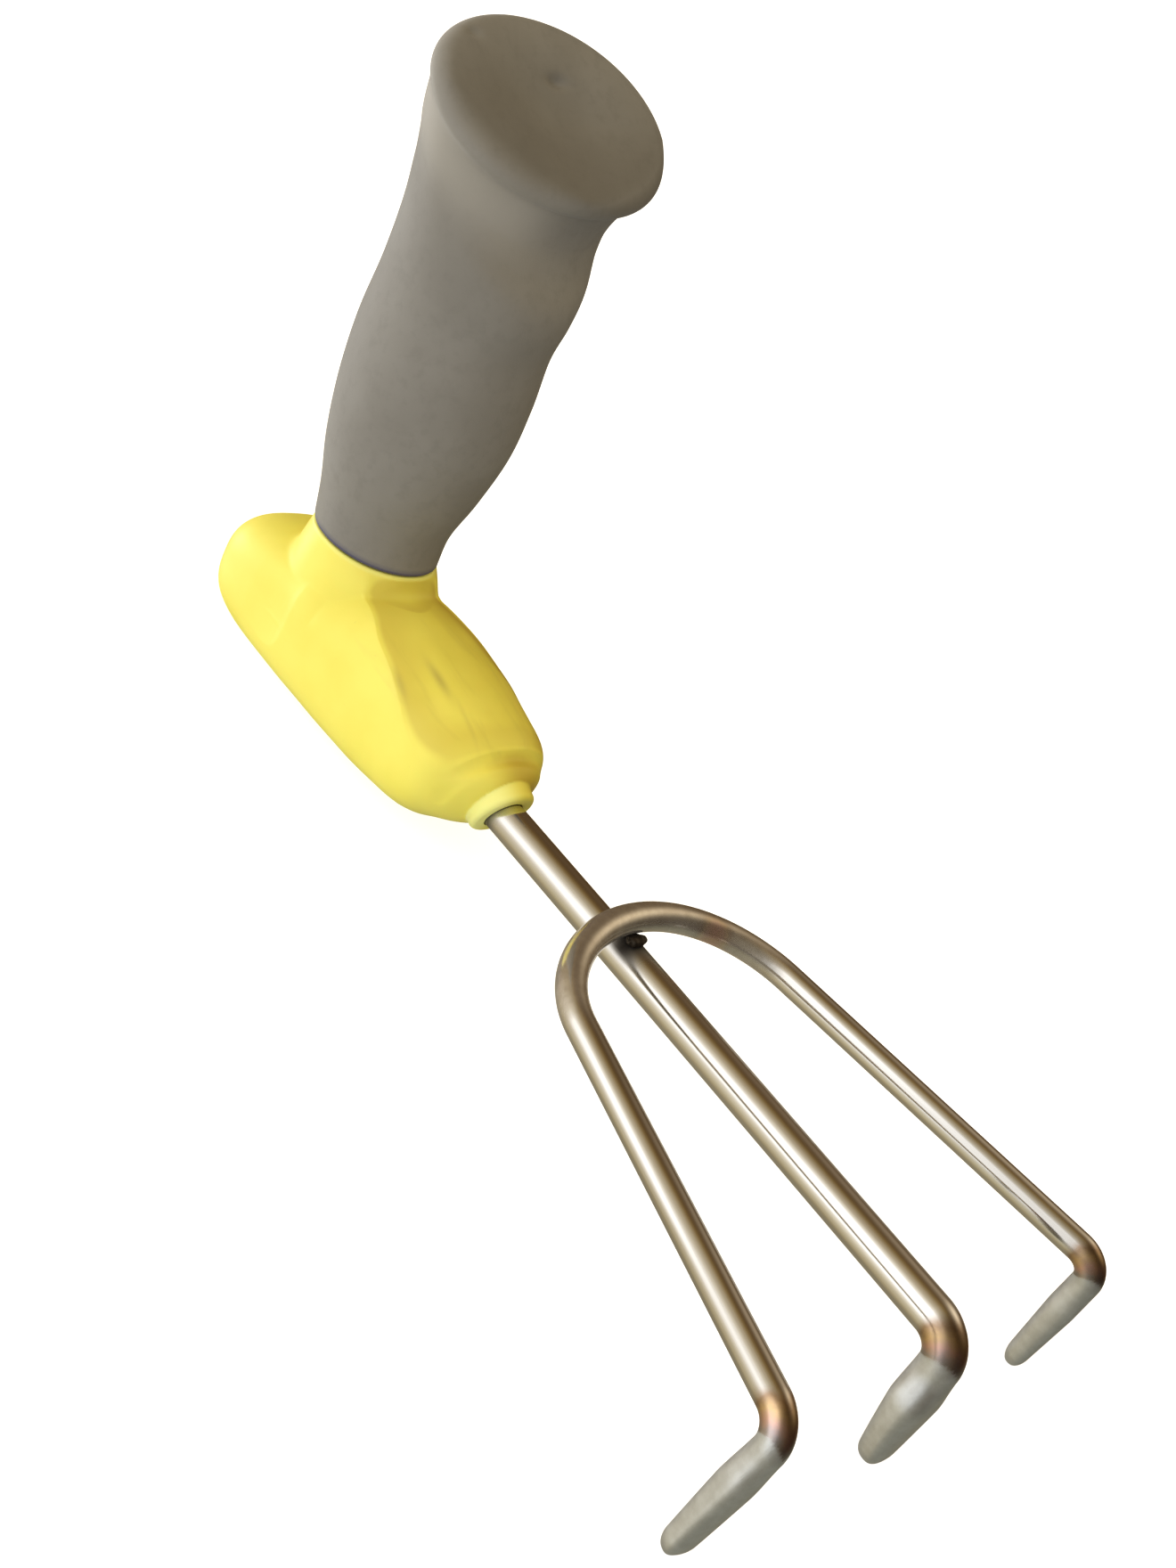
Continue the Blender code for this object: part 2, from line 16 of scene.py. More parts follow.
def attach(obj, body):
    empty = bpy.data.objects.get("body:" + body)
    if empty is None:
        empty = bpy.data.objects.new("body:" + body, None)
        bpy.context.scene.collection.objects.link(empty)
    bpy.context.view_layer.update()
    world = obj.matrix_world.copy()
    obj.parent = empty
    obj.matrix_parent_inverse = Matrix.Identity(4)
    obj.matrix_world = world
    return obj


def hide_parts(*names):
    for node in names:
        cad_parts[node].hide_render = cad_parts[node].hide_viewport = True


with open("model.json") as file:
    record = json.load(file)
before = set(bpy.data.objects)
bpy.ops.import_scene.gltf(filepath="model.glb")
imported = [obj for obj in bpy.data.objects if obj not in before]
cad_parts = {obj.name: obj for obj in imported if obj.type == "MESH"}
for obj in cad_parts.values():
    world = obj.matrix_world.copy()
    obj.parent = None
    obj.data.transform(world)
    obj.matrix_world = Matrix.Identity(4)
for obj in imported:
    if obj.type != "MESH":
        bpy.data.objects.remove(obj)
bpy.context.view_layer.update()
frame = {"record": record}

MM = 0.001
LAND_POINT = Vector((-55.0, 0.0, -12.4))

# Steel: the rod, the wire bent over it, and their forged tips, a hair slimmer than the stock so that
# these finer surfaces stay inside the box of the plain ones
ROD_RADIUS = 3.92
WIRE_RADIUS = 2.94
ROD_START = -6.0
TINE_REACH = 134.13
TIP_DEPTH = 30.98
BEND_RADIUS = 6.5
OUTER_BEND_RADIUS = 5.5
OUTER_BEND_Y = 47.8
OUTER_BEND_Z = 1.2
OUTER_SPLAY = 0.24
OUTER_RISE = 0.047
TIP_SPLAY = 3.6
TIP_TUCK = 1.8
CENTRE_FOOT_FORWARD = 1.0
ARCH_FRONT = 62.0
ARCH_LENGTH = 24.5
CROSSING = ARCH_FRONT - ARCH_LENGTH
ARCH_HALF_WIDTH = 30.3
ARCH_LIFT = 7.3

# Forged tips: half width where widest, half thickness at the end, and how much the width narrows
CENTRE_TIP = (5.7, 2.4, 0.42)
OUTER_TIP = (3.45, 2.1, 0.16)
TIP_SQUARENESS = 2.6
TIP_SWELL = 0.32
TIP_NOSE = 0.85
TIP_ROUNDING = 0.97

# Weld beads in the two corners between the rod and the arch
WELD_OFFSET = 3.2
WELD_RISE = 0.5
WELD_HALF_SIZE = (1.5, 2.6, 1.15)

# Middle of a pink heat tint on the arch, its strength, and the square of its reach
HEAT_SPOT = (45.5, 17.0, 7.0)
HEAT_SPOT_STRENGTH = 0.9
HEAT_SPOT_SPREAD = 12.0

# Finish of the tines, in distances past the end of the bend: where the grinding starts, how far its
# V runs back at the sides, and where the heat tint starts and how far its colours run
GROUND_EDGE = (-1.2, -0.6)
GROUND_VEE = 2.2
TINT_EDGE = (-8.5, -6.5)
TINT_LENGTH = 7.5

# Painted shadow on the rod: how far in front of the crossing, and half length there and at the ring's
# mouth
WELD_SHADOW = (3.0, 4.5)
MOUTH_SHADOW = 1.5

# Ring moulded round the rod, with its mouth leaning forwards at the top
RING_RADIUS = 7.1
RING_MOUTH = -0.7
RING_LENGTH = 3.4
RING_ROOT = 4.0
RING_EDGE = 1.2
RING_LEAN = 20.0
RING_BORE = 4.15
BORE_SPAN = (-20.0, 8.0)

# Handle body: distance along the rod, half width, height of the widest line, top, bottom; then
# where the side and the top meet in a ridge, as shares of the half width and of the height above
# the widest line; then squareness above and below that line. From -25 to -8.5 the rows differ a
# little from the plain solid's on purpose: here the ridge is carried on round the end of the nose.
LAND_Z = -12.4
BODY_STATIONS = (
    (-95.3, 4.6, -0.6, 2.4, -3.8, 0.73, 0.73, 2.2, 2.2),
    (-94.7, 8.8, -0.6, 5.6, -6.2, 0.749, 0.749, 2.4, 2.4),
    (-93.0, 12.0, -0.4, 8.6, -8.8, 0.766, 0.766, 2.6, 2.8),
    (-89.9, 14.6, 0.0, 10.9, -10.8, 0.781, 0.781, 2.8, 3.2),
    (-85.2, 16.1, 0.6, 12.4, -12.1, 0.794, 0.794, 3.0, 3.6),
    (-77.0, 16.9, 1.8, 13.8, -12.9, 0.794, 0.794, 3.0, 4.0),
    (-62.0, 17.3, 3.4, 16.2, -13.3, 0.7, 0.885, 3.2, 4.0),
    (-53.0, 17.3, 4.2, 17.4, -13.3, 0.6, 0.94, 1.8, 4.0),
    (-46.0, 17.3, 4.6, 17.8, -13.3, 0.66, 0.91, 1.7, 4.0),
    (-39.0, 17.3, 4.35, 17.5, -13.1, 0.80, 0.815, 1.8, 3.9),
    (-32.0, 17.3, 4.0, 17.1, -12.8, 0.865, 0.72, 1.9, 3.8),
    (-25.0, 17.25, 3.35, 16.5, -12.1, 0.95, 0.58, 2.0, 3.6),
    (-18.0, 17.2, 2.6, 15.5, -11.2, 0.985, 0.35, 2.1, 3.3),
    (-12.0, 16.5, 1.9, 13.8, -10.0, 0.975, 0.33, 2.1, 2.8),
    (-8.5, 14.4, 1.5, 11.9, -8.6, 0.96, 0.3, 2.15, 2.5),
    (-5.8, 11.5, 1.2, 10.0, -7.6, 0.80, 0.65, 2.2, 2.3),
    (-4.2, 9.0, 1.0, 8.6, -6.7, 0.75, 0.70, 2.1, 2.1),
    (-3.6, 7.7, 0.8, 7.6, -6.0, 0.707, 0.707, 2.0, 2.0),
)

# The end of the nose leans forwards at the top, as the ring does: how steeply, and over what run
NOSE_LEAN = 0.36
NOSE_RUN = 16.0

# Neck: height, centre, half depth, half width; where its front and its sides meet in a ridge, as
# shares of those; squareness in front and behind
NECK_STATIONS = (
    (2.0, -62.2, 17.2, 16.0, 0.86, 0.765, 3.4, 2.8),
    (10.0, -62.5, 16.4, 15.7, 0.86, 0.741, 3.2, 2.5),
    (14.0, -63.2, 15.6, 15.2, 0.86, 0.71, 2.6, 2.35),
    (17.0, -63.95, 14.75, 14.6, 0.87, 0.71, 1.8, 2.25),
    (19.6, -64.5, 14.1, 14.1, 0.86, 0.69, 1.7, 2.15),
    (21.8, -64.8, 13.7, 13.8, 0.776, 0.655, 2.05, 2.05),
)

# How far the moulding is rounded in millimetres: on its ridges, in the corner at the neck's foot,
# round the ring's root and on the lip at the seam
RIDGE_ROUND = 0.6
FOOT_ROUND = 2.5
RING_ROUND = 0.8
LIP_ROUND = 0.7

# How softly pointed arcs between the ridges start, so that they meet without a line, as a share
ARC_START = 0.25

# Soft marks on top of the nose: middle, direction in degrees, half length, half width, strength
SCUFFS = (
    (-25.4, -7.8, -3.0, 4.5, 1.0, 0.9),
    (-28.0, -15.0, -10.0, 4.0, 0.8, 0.7),
    (-14.0, -7.4, -5.0, 5.0, 0.5, 0.35),
)

# Painted shade in the corner round the ring's root: how far off the ring it starts, and how far out it
# has faded
ROOT_START = (0.05, 0.4)
ROOT_END = 4.5

# Grip: height and place of the centre, half depth, half width, slope of the section in degrees
GRIP_STATIONS = (
    (22.1, -64.8, 13.9, 13.9, 0.0),
    (30.0, -66.3, 14.9, 14.6, 0.0),
    (40.0, -66.9, 17.7, 16.9, 0.0),
    (52.0, -67.4, 20.0, 18.6, 0.0),
    (64.0, -68.5, 20.6, 19.0, -3.0),
    (76.0, -69.3, 20.1, 18.6, -8.0),
    (86.0, -69.4, 21.0, 19.5, -15.0),
    (94.0, -70.4, 21.6, 21.0, -22.0),
    (101.0, -72.2, 20.0, 22.9, -28.0),
    (107.0, -72.6, 18.4, 25.6, -32.0),
)
HEM_EDGE = 0.6
HOLLOW_INSET = 3.2
FLANGE_HEIGHT = 115.5
FLANGE_CENTRE = -69.8
FLANGE_HALF_DEPTH = 20.0
FLANGE_HALF_WIDTH = 30.5
FLANGE_SLOPE = -34.0
FLANGE_EDGE = 3.39
FLANGE_UNDER = 2.0
CREST_INSET = 0.1
CREST_CORNER = 0.15
DISH_DEPTH = 3.0
DISH_REACH = 1.1

GRIP_SQUARENESS = 2.05

# Two shallow dimples in the dish: forward and left of its middle, half length, half width, depth
DIMPLES = ((-7.6, 2.4, 2.4, 1.1, 1.2), (-11.9, -19.6, 1.7, 1.0, 0.8))

# Painted light and shade on the grip: the hem's painted shade line between two heights, then bands
# counted in rings from the crest, with how wide
# they are: painted light under the crest on the near side, and painted shade round the far rim; then over
# how many rings the dish's painted shade starts
HEM_LINE = (22.6, 23.3)
CREST_LIGHT_BAND = (-30, 13.0)
RIM_BAND = (-12, 8.0)
DISH_SHADE = 14

# Fineness of the surfaces
GRIP_SEGMENTS = 180
BODY_SEGMENTS = 96
STEEL_SEGMENTS = 40
ROW_STEPS = 9
BEND_STEPS = 24
DISH_RINGS = 48
SOFT_RINGS = 84
VOXEL = 0.4

# Camera, in the tool's frame: where it stands, and how it is turned in degrees
CAMERA_PLACE = Vector((192.637, -269.922, 198.438))
CAMERA_AZIMUTH = 33.608
CAMERA_ELEVATION = 28.811
CAMERA_ROLL = 30.118
CAMERA_LENS = 44.02

# Studio: directions are azimuth and elevation in degrees in the tool's frame. The wall of light
# fades out between two cosines from the direction it faces, and a glow has a tightness as well.
WALL_TOWARDS = (-95.4, -14.5)
WALL_EDGES = (-0.468, 0.144)
WALL_LIGHT = 1.27
WALL_BELOW = 0.53
HEEL_GLOW = (193.3, -11.7, 27.0)
HEEL_LIGHT = 7.5
ROOM_GLOW = (139.5, 54.5, 1.93)
ROOM_COLOUR = (0.29, 0.195, 0.065)
TOP_GLOW = (62.0, 66.0, 8.0)
TOP_COLOUR = (1.3, 1.03, 0.5)

# What polished surfaces mirror: a white band, brown above it, olive below and a cream glow behind
BAND_TOWARDS = (-90.0, 15.0)
BAND_LIGHT = 1.6
BAND = (
    (0.35, (0.06, 0.034, 0.014)),
    (0.485, (0.085, 0.05, 0.018)),
    (0.59, (0.144, 0.095, 0.038)),
    (0.7, (0.235, 0.186, 0.109)),
    (0.8, (0.34, 0.295, 0.217)),
    (0.87, (0.51, 0.465, 0.38)),
    (0.91, (0.68, 0.66, 0.62)),
    (0.94, (1.0, 1.0, 1.0)),
)
BAND_BELOW = (0.12, 0.125, 0.095)
ARCH_GLOW = (75.0, 37.0, 17.0)
ARCH_COLOUR = (0.56, 0.48, 0.35)
BACKDROP = 1.05

BLACK = (0.0, 0.0, 0.0)
WHITE = (1.0, 1.0, 1.0)


def tool_frame():
    """Matrix from the tool's millimetres to the world's metres."""
    mount = next(m for m in frame["record"]["mounts"] if m["name"] == "body_land")
    pitch = math.atan2(mount["axis"][0], -mount["axis"][2])
    turn = Matrix.Rotation(-pitch, 4, "Y") @ Matrix.Scale(MM, 4)
    return Matrix.Translation(Vector(mount["pos_m"]) - turn @ LAND_POINT) @ turn


TOOL = tool_frame()


def smooth_rows(rows, steps):
    """Rows on a smooth curve through the given rows, with steps of them from each to the next."""
    rows = np.array(rows, float)
    padded = np.vstack([2 * rows[0] - rows[1], rows, 2 * rows[-1] - rows[-2]])
    result = []
    for a, b, c, d in zip(padded, padded[1:], padded[2:], padded[3:]):
        for step in range(steps):
            t = step / steps
            bend = (2 * a - 5 * b + 4 * c - d) * t ** 2 + (3 * b - a - 3 * c + d) * t ** 3
            result.append((0.5 * (2 * b + (c - a) * t + bend)).tolist())
    return result + [rows[-1].tolist()]


def angles(count):
    return np.arange(count) * 2 * math.pi / count


def rounded(turn, power):
    """Cosines and sines of angles, squared off by powers above 2."""
    c, s = np.cos(turn), np.sin(turn)
    return np.sign(c) * np.abs(c) ** (2 / power), np.sign(s) * np.abs(s) ** (2 / power)


def upright_ring(height, centre, half_depth, half_width, slope=0.0, lift=0.0):
    """An oval round the grip's axis, sloping forwards, and lifted square to its own plane."""
    tilt = math.radians(slope)
    forward = np.array((math.cos(tilt), 0, math.sin(tilt)))
    normal = np.array((-math.sin(tilt), 0, math.cos(tilt)))
    c, s = rounded(angles(GRIP_SEGMENTS), GRIP_SQUARENESS)
    middle = np.array((centre, 0, height)) + lift * normal
    return middle + np.outer(half_depth * c, forward) + np.outer(half_width * s, (0, 1, 0))


def new_object(name, bm):
    """An object in the scene with the built mesh, which is freed."""
    mesh = bpy.data.meshes.new(name)
    bm.to_mesh(mesh)
    bm.free()
    obj = bpy.data.objects.new(name, mesh)
    bpy.context.scene.collection.objects.link(obj)
    return obj


def skin(name, rings):
    """A closed loft through rings of the tool's frame with the same number of points, in the world."""
    bm = bmesh.new()
    loops = [[bm.verts.new(TOOL @ Vector(point)) for point in ring] for ring in rings]
    for one, two in zip(loops, loops[1:]):
        for i in range(len(one)):
            j = (i + 1) % len(one)
            bm.faces.new((one[i], one[j], two[j], two[i]))
    bm.faces.new(loops[0][::-1])
    bm.faces.new(loops[-1])
    bmesh.ops.recalc_face_normals(bm, faces=bm.faces)
    obj = new_object(name, bm)
    obj.data.shade_smooth()
    return obj


def store(obj, name, values):
    """Keep one number for each vertex, for the materials to read."""
    layer = obj.data.attributes.new(name, "FLOAT", "POINT")
    layer.data.foreach_set("value", np.asarray(values, np.float32).ravel())


def apply_modifiers(obj):
    """Replace the object's mesh by what its modifiers make of it."""
    graph = bpy.context.evaluated_depsgraph_get()
    mesh = bpy.data.meshes.new_from_object(obj.evaluated_get(graph))
    obj.modifiers.clear()
    obj.data = mesh
    return obj


def tool_points(obj):
    """The object's vertices in the tool's frame."""
    flat = np.empty(3 * len(obj.data.vertices))
    obj.data.vertices.foreach_get("co", flat)
    back = np.array(TOOL.inverted())
    return flat.reshape(-1, 3) @ back[:3, :3].T + back[:3, 3]


def set_tool_points(obj, points):
    """Move the object's vertices to points of the tool's frame."""
    turn = np.array(TOOL)
    obj.data.vertices.foreach_set("co", (points @ turn[:3, :3].T + turn[:3, 3]).ravel())
    obj.data.update()


def falloff(value, start, end):
    """0 before start, 1 past end, and a smooth step between them."""
    t = np.clip((np.asarray(value, float) - start) / (end - start), 0, 1)
    return t * t * (3 - 2 * t)


class Nodes:
    """Short ways to add and join the nodes of a material or a world."""

    def __init__(self, tree):
        self.tree = tree

    def add(self, kind, **settings):
        node = self.tree.nodes.new(kind)
        for setting, value in settings.items():
            setattr(node, setting, value)
        return node

    def put(self, socket, value):
        """Join another node's socket to this one, or give it a value."""
        if isinstance(value, bpy.types.NodeSocket):
            self.tree.links.new(value, socket)
        elif isinstance(value, tuple) and socket.type == "RGBA":
            socket.default_value = (*value, 1)
        else:
            socket.default_value = value

    def set(self, node, **values):
        for socket, value in values.items():
            self.put(node.inputs[socket], value)

    def math(self, operation, one, two=0.0):
        node = self.add("ShaderNodeMath", operation=operation)
        for socket, value in zip(node.inputs, (one, two)):
            self.put(socket, value)
        return node.outputs[0]

    def step(self, value, start, end, low=0.0, high=1.0):
        """Low before start and high past end, with a smooth step between them."""
        node = self.add("ShaderNodeMapRange", interpolation_type="SMOOTHSTEP")
        for socket, item in zip(node.inputs, (value, start, end, low, high)):
            self.put(socket, item)
        return node.outputs[0]

    def mix(self, share, one, two):
        """One colour turning into another."""
        node = self.add("ShaderNodeMix", data_type="RGBA")
        for socket, value in zip((node.inputs[0], node.inputs[6], node.inputs[7]), (share, one, two)):
            self.put(socket, value)
        return node.outputs[2]

    def blend(self, share, one, two):
        """One number turning into another."""
        node = self.add("ShaderNodeMix", data_type="FLOAT")
        for socket, value in zip((node.inputs[0], node.inputs[2], node.inputs[3]), (share, one, two)):
            self.put(socket, value)
        return node.outputs[0]

    def plus(self, one, two):
        """Two colours added."""
        node = self.add("ShaderNodeVectorMath", operation="ADD")
        for socket, value in zip(node.inputs, (one, two)):
            self.put(socket, value)
        return node.outputs[0]

    def shine(self, colour, strength):
        node = self.add("ShaderNodeBackground")
        self.set(node, Color=colour, Strength=strength)
        return node.outputs[0]

    def either(self, share, one, two):
        """One shader turning into another."""
        node = self.add("ShaderNodeMixShader")
        for socket, value in zip(node.inputs, (share, one, two)):
            self.put(socket, value)
        return node.outputs[0]

    def ramp(self, value, *stops):
        """Colours at places from 0 to 1."""
        node = self.add("ShaderNodeValToRGB")
        points = node.color_ramp.elements
        while len(points) < len(stops):
            points.new(0.5)
        for point, (place, colour) in zip(points, stops):
            point.position = place
            point.color = (*colour, 1)
        self.put(node.inputs[0], value)
        return node.outputs[0]


class Finish(Nodes):
    """A procedural material."""

    def __init__(self, name, metallic=0.0, **sockets):
        self.material = bpy.data.materials.new(name)
        self.material.use_nodes = True
        super().__init__(self.material.node_tree)
        self.shader = self.tree.nodes["Principled BSDF"]
        self.set(self.shader, Metallic=metallic)
        for socket, value in sockets.items():
            self.shader.inputs[socket.replace("_", " ")].default_value = value
        self.place = self.add("ShaderNodeTexCoord").outputs["Object"]

    def attribute(self, name):
        return self.add("ShaderNodeAttribute", attribute_name=name).outputs["Fac"]

    def noise(self, size, detail=2.0, rough=0.5, place=None, warp=0.0):
        """Noise with features of about the given size in millimetres."""
        node = self.add("ShaderNodeTexNoise")
        self.set(node, Vector=place or self.place, Scale=1 / (size * MM), Detail=detail, Roughness=rough)
        self.set(node, Distortion=warp)
        return node.outputs["Fac"]

    def stretched(self, scale):
        """The tool's coordinates, stretched along its own axes."""
        turn = self.add("ShaderNodeMapping")
        turn.inputs["Rotation"].default_value = (0, -TOOL.to_euler().y, 0)
        self.set(turn, Vector=self.place)
        stretch = self.add("ShaderNodeMapping")
        stretch.inputs["Scale"].default_value = scale
        self.set(stretch, Vector=turn.outputs[0])
        return stretch.outputs[0]

    def bump(self, height, depth, strength=1.0, below=None):
        """A bump of the given depth in millimetres, over another one."""
        node = self.add("ShaderNodeBump")
        self.set(node, Height=height, Distance=depth * MM, Strength=strength)
        if below:
            self.set(node, Normal=below)
        return node.outputs[0]

    def finish(self, colour, roughness, normal):
        self.set(self.shader, **{"Base Color": colour, "Roughness": roughness, "Normal": normal})
        return self.material


def soft_rubber():
    """Matt soft-touch rubber, taupe grey, with a fine grain, uneven tone, painted light under the crest
    on the near side, painted shade on the dish and round the far rim, and a painted shade line at the
    hem.
    """
    f = Finish("soft_grip", Sheen_Weight=0.12, Sheen_Roughness=0.45)
    cloud = f.noise(28, 3)
    mottle = f.noise(2.5, 4, 0.6)
    base = f.mix(f.step(cloud, 0.35, 0.68), (0.205, 0.188, 0.155), (0.24, 0.223, 0.188))
    base = f.mix(f.math("MULTIPLY", f.step(mottle, 0.45, 0.75), 0.35), base, (0.17, 0.155, 0.128))
    # Painted light under the crest on the near side
    base = f.mix(f.math("MULTIPLY", f.attribute("painted_crest_light"), 0.75), base, (0.41, 0.375, 0.31))
    # Painted shade on the dish and round the far rim
    base = f.mix(f.math("MULTIPLY", f.attribute("dish"), 0.5), base, (0.085, 0.07, 0.045))
    # Painted shade line along the hem
    base = f.mix(f.attribute("hem"), base, (0.075, 0.07, 0.125))
    rough = f.blend(f.noise(6, 3), 0.58, 0.74)
    grain = f.bump(f.noise(0.35, 3, 0.6), 0.05, 0.5)
    normal = f.bump(f.noise(5, 2), 0.12, 0.3, grain)
    return f.finish(base, rough, normal)


def yellow_plastic():
    """Satin moulded plastic, lemon yellow, with moulded grain, faint streaks, a little dirt, painted
    shade beside the ridge and round the ring's root, a painted highlight on the ring and a paler lip at
    the neck's top.
    """
    f = Finish("yellow_moulding", Specular_IOR_Level=0.4, Subsurface_Weight=0.06, Subsurface_Scale=0.0015)
    cloud = f.noise(18, 3)
    base = f.mix(f.step(cloud, 0.3, 0.7), (0.87, 0.76, 0.1), (0.92, 0.81, 0.125))
    flow = f.noise(1, 2, 0.5, f.stretched((0.05, 0.3, 0.3)), 0.4)
    streak = f.math("MULTIPLY", f.step(flow, 0.5, 0.75), f.attribute("nose"))
    base = f.mix(f.math("MULTIPLY", streak, 0.2), base, (0.6, 0.5, 0.08))
    # Painted shade beside the ridge and round the ring's root
    base = f.mix(f.attribute("painted_nose_shade"), base, (0.6, 0.44, 0.05))
    base = f.mix(f.math("MULTIPLY", f.attribute("scuff"), 0.55), base, (0.36, 0.27, 0.07))
    specks = f.step(f.noise(1.6, 5, 0.65), 0.68, 0.74)
    base = f.mix(f.math("MULTIPLY", specks, 0.25), base, (0.5, 0.4, 0.08))
    # Painted highlight on the ring's lit side, and a paler lip at the neck's top
    base = f.mix(f.attribute("seam"), base, (0.97, 0.94, 0.28))
    rough = f.blend(f.noise(9, 4), 0.34, 0.5)
    grain = f.bump(f.noise(0.5, 3, 0.6), 0.02, 0.5)
    normal = f.bump(f.noise(7, 2), 0.15, 0.3, grain)
    return f.finish(base, rough, normal)


def tool_steel():
    """Polished rod and wire, dull where the arch was heated, tinted at the bends, ground tips, and
    painted shadow on the rod under the arch and at the ring's mouth.
    """
    f = Finish("polished_steel", metallic=1.0)
    drawn = f.add("ShaderNodeCombineXYZ")
    for axis, name in zip("XYZ", ("lengthwise", "turn_x", "turn_y")):
        f.set(drawn, **{axis: f.attribute(name)})
    drawn = drawn.outputs[0]
    streaks = f.noise(1000, 4, 0.6, drawn)
    mottle = f.noise(2.2, 4, 0.6)
    cloud = f.noise(9, 3)
    arch = f.math("MULTIPLY", f.attribute("arch"), f.step(cloud, 0.25, 0.7, 0.75, 1.0))
    uneven = f.math("MULTIPLY", f.math("SUBTRACT", mottle, 0.5), 0.3)
    tint = f.ramp(f.math("ADD", f.attribute("tint"), uneven),
                  (0.0, (0.66, 0.61, 0.55)), (0.3, (0.45, 0.31, 0.2)), (0.5, (0.72, 0.5, 0.27)),
                  (0.7, (0.74, 0.47, 0.38)), (0.9, (0.5, 0.42, 0.4)), (1.0, (0.45, 0.4, 0.37)))
    dull = f.mix(mottle, (0.48, 0.41, 0.31), (0.92, 0.86, 0.76))
    matt = f.mix(f.step(mottle, 0.3, 0.7), (0.56, 0.565, 0.54), (0.65, 0.66, 0.64))
    base = f.mix(f.step(streaks, 0.35, 0.7), (0.82, 0.79, 0.74), (0.72, 0.685, 0.63))
    base = f.mix(f.math("MULTIPLY", arch, 0.85), base, dull)
    base = f.mix(f.attribute("tinted"), base, tint)
    base = f.mix(f.attribute("ground"), base, matt)
    # Painted shadow on the rod under the arch and at the ring's mouth
    base = f.mix(f.attribute("painted_shadow"), base, (0.03, 0.024, 0.02))
    rough = f.blend(streaks, 0.08, 0.16)
    rough = f.blend(arch, rough, f.blend(mottle, 0.14, 0.26))
    rough = f.blend(f.attribute("tinted"), rough, 0.24)
    rough = f.blend(f.attribute("ground"), rough, f.blend(mottle, 0.26, 0.4))
    rough = f.blend(f.attribute("painted_shadow"), rough, 0.6)
    f.set(f.shader, Metallic=f.blend(f.attribute("ground"), f.blend(arch, 1.0, 0.86), 0.85))
    scratches = f.noise(1, 3, 0.6, f.stretched((6.0, 0.7, 3.0)))
    fine = f.bump(streaks, 0.008, 0.6)
    ground = f.bump(f.math("MULTIPLY", scratches, f.attribute("ground")), 0.05, 0.7, fine)
    normal = f.bump(f.math("MULTIPLY", mottle, arch), 0.02, 0.5, ground)
    return f.finish(base, rough, normal)


def weld_metal():
    """Weld bead, dull, and painted near black to stand for the shade in the corner under the arch."""
    f = Finish("weld_metal", metallic=1.0)
    mottle = f.noise(0.8, 4, 0.6)
    # Painted shade: the bead is kept near black like the shade under the arch
    base = f.mix(mottle, (0.03, 0.025, 0.02), (0.12, 0.1, 0.08))
    return f.finish(base, f.blend(mottle, 0.35, 0.6), f.bump(mottle, 0.08, 0.6))


def dish_lift(share):
    """Height of the dish above the rim's plane, from its middle at 0 to the crest at 1."""
    reach = math.pi * min(1.0, share * DISH_REACH)
    return FLANGE_EDGE - DISH_DEPTH * (0.5 + 0.5 * math.cos(reach))


def flange_ring(inset, lift, share=1.0):
    """A ring of the flange in its sloping plane, from the rim at inset 0 to the crest at inset 1."""
    size = (share * FLANGE_HALF_DEPTH, share * FLANGE_HALF_WIDTH)
    oval = upright_ring(FLANGE_HEIGHT, FLANGE_CENTRE, *size, FLANGE_SLOPE, lift)
    turn = angles(GRIP_SEGMENTS)
    corner = 2 * np.maximum(0, np.cos(turn)) * np.abs(np.sin(turn))
    scale = 1 - inset * (CREST_INSET + CREST_CORNER * corner)
    middle = oval.mean(axis=0)
    return middle + (oval - middle) * scale[:, None]


def grip_rows():
    """Rings of the sleeve's skin: up its hollow edge, round the hem, up outside and into the dish."""
    height, centre, depth, width, _ = GRIP_STATIONS[0]
    inner = (depth - HOLLOW_INSET, width - HOLLOW_INSET)
    rows = [upright_ring(height + HOLLOW_INSET, centre, *inner), upright_ring(height, centre, *inner)]
    for step in range(7):
        turn = math.radians(15 * step)
        inset, rise = HEM_EDGE * (1 - math.sin(turn)), HEM_EDGE * (1 - math.cos(turn))
        rows.append(upright_ring(height + rise, centre, depth - inset, width - inset))
    tilt = math.radians(FLANGE_SLOPE)
    lift = FLANGE_UNDER * math.sin(math.radians(-60))
    inset = 0.5 * FLANGE_EDGE
    under = (FLANGE_HEIGHT + lift * math.cos(tilt), FLANGE_CENTRE - lift * math.sin(tilt),
             FLANGE_HALF_DEPTH - inset, FLANGE_HALF_WIDTH - inset, FLANGE_SLOPE)
    outside = smooth_rows(GRIP_STATIONS + (under,), ROW_STEPS)
    rows += [upright_ring(*row) for row in outside if row[0] > height + HEM_EDGE]
    for step in range(-5, 1):
        turn = math.radians(10 * step)
        inset = FLANGE_EDGE * (1 - math.cos(turn))
        size = (FLANGE_HALF_DEPTH - inset, FLANGE_HALF_WIDTH - inset)
        lift = FLANGE_UNDER * math.sin(turn)
        rows.append(upright_ring(FLANGE_HEIGHT, FLANGE_CENTRE, *size, FLANGE_SLOPE, lift))
    for step in range(1, 19):
        turn = math.radians(5 * step)
        rows.append(flange_ring(1 - math.cos(turn), FLANGE_EDGE * math.sin(turn)))
    rows += [flange_ring(1.0, dish_lift(share), share) for share in np.linspace(0.97, 0.02, DISH_RINGS)]
    return np.array(rows)


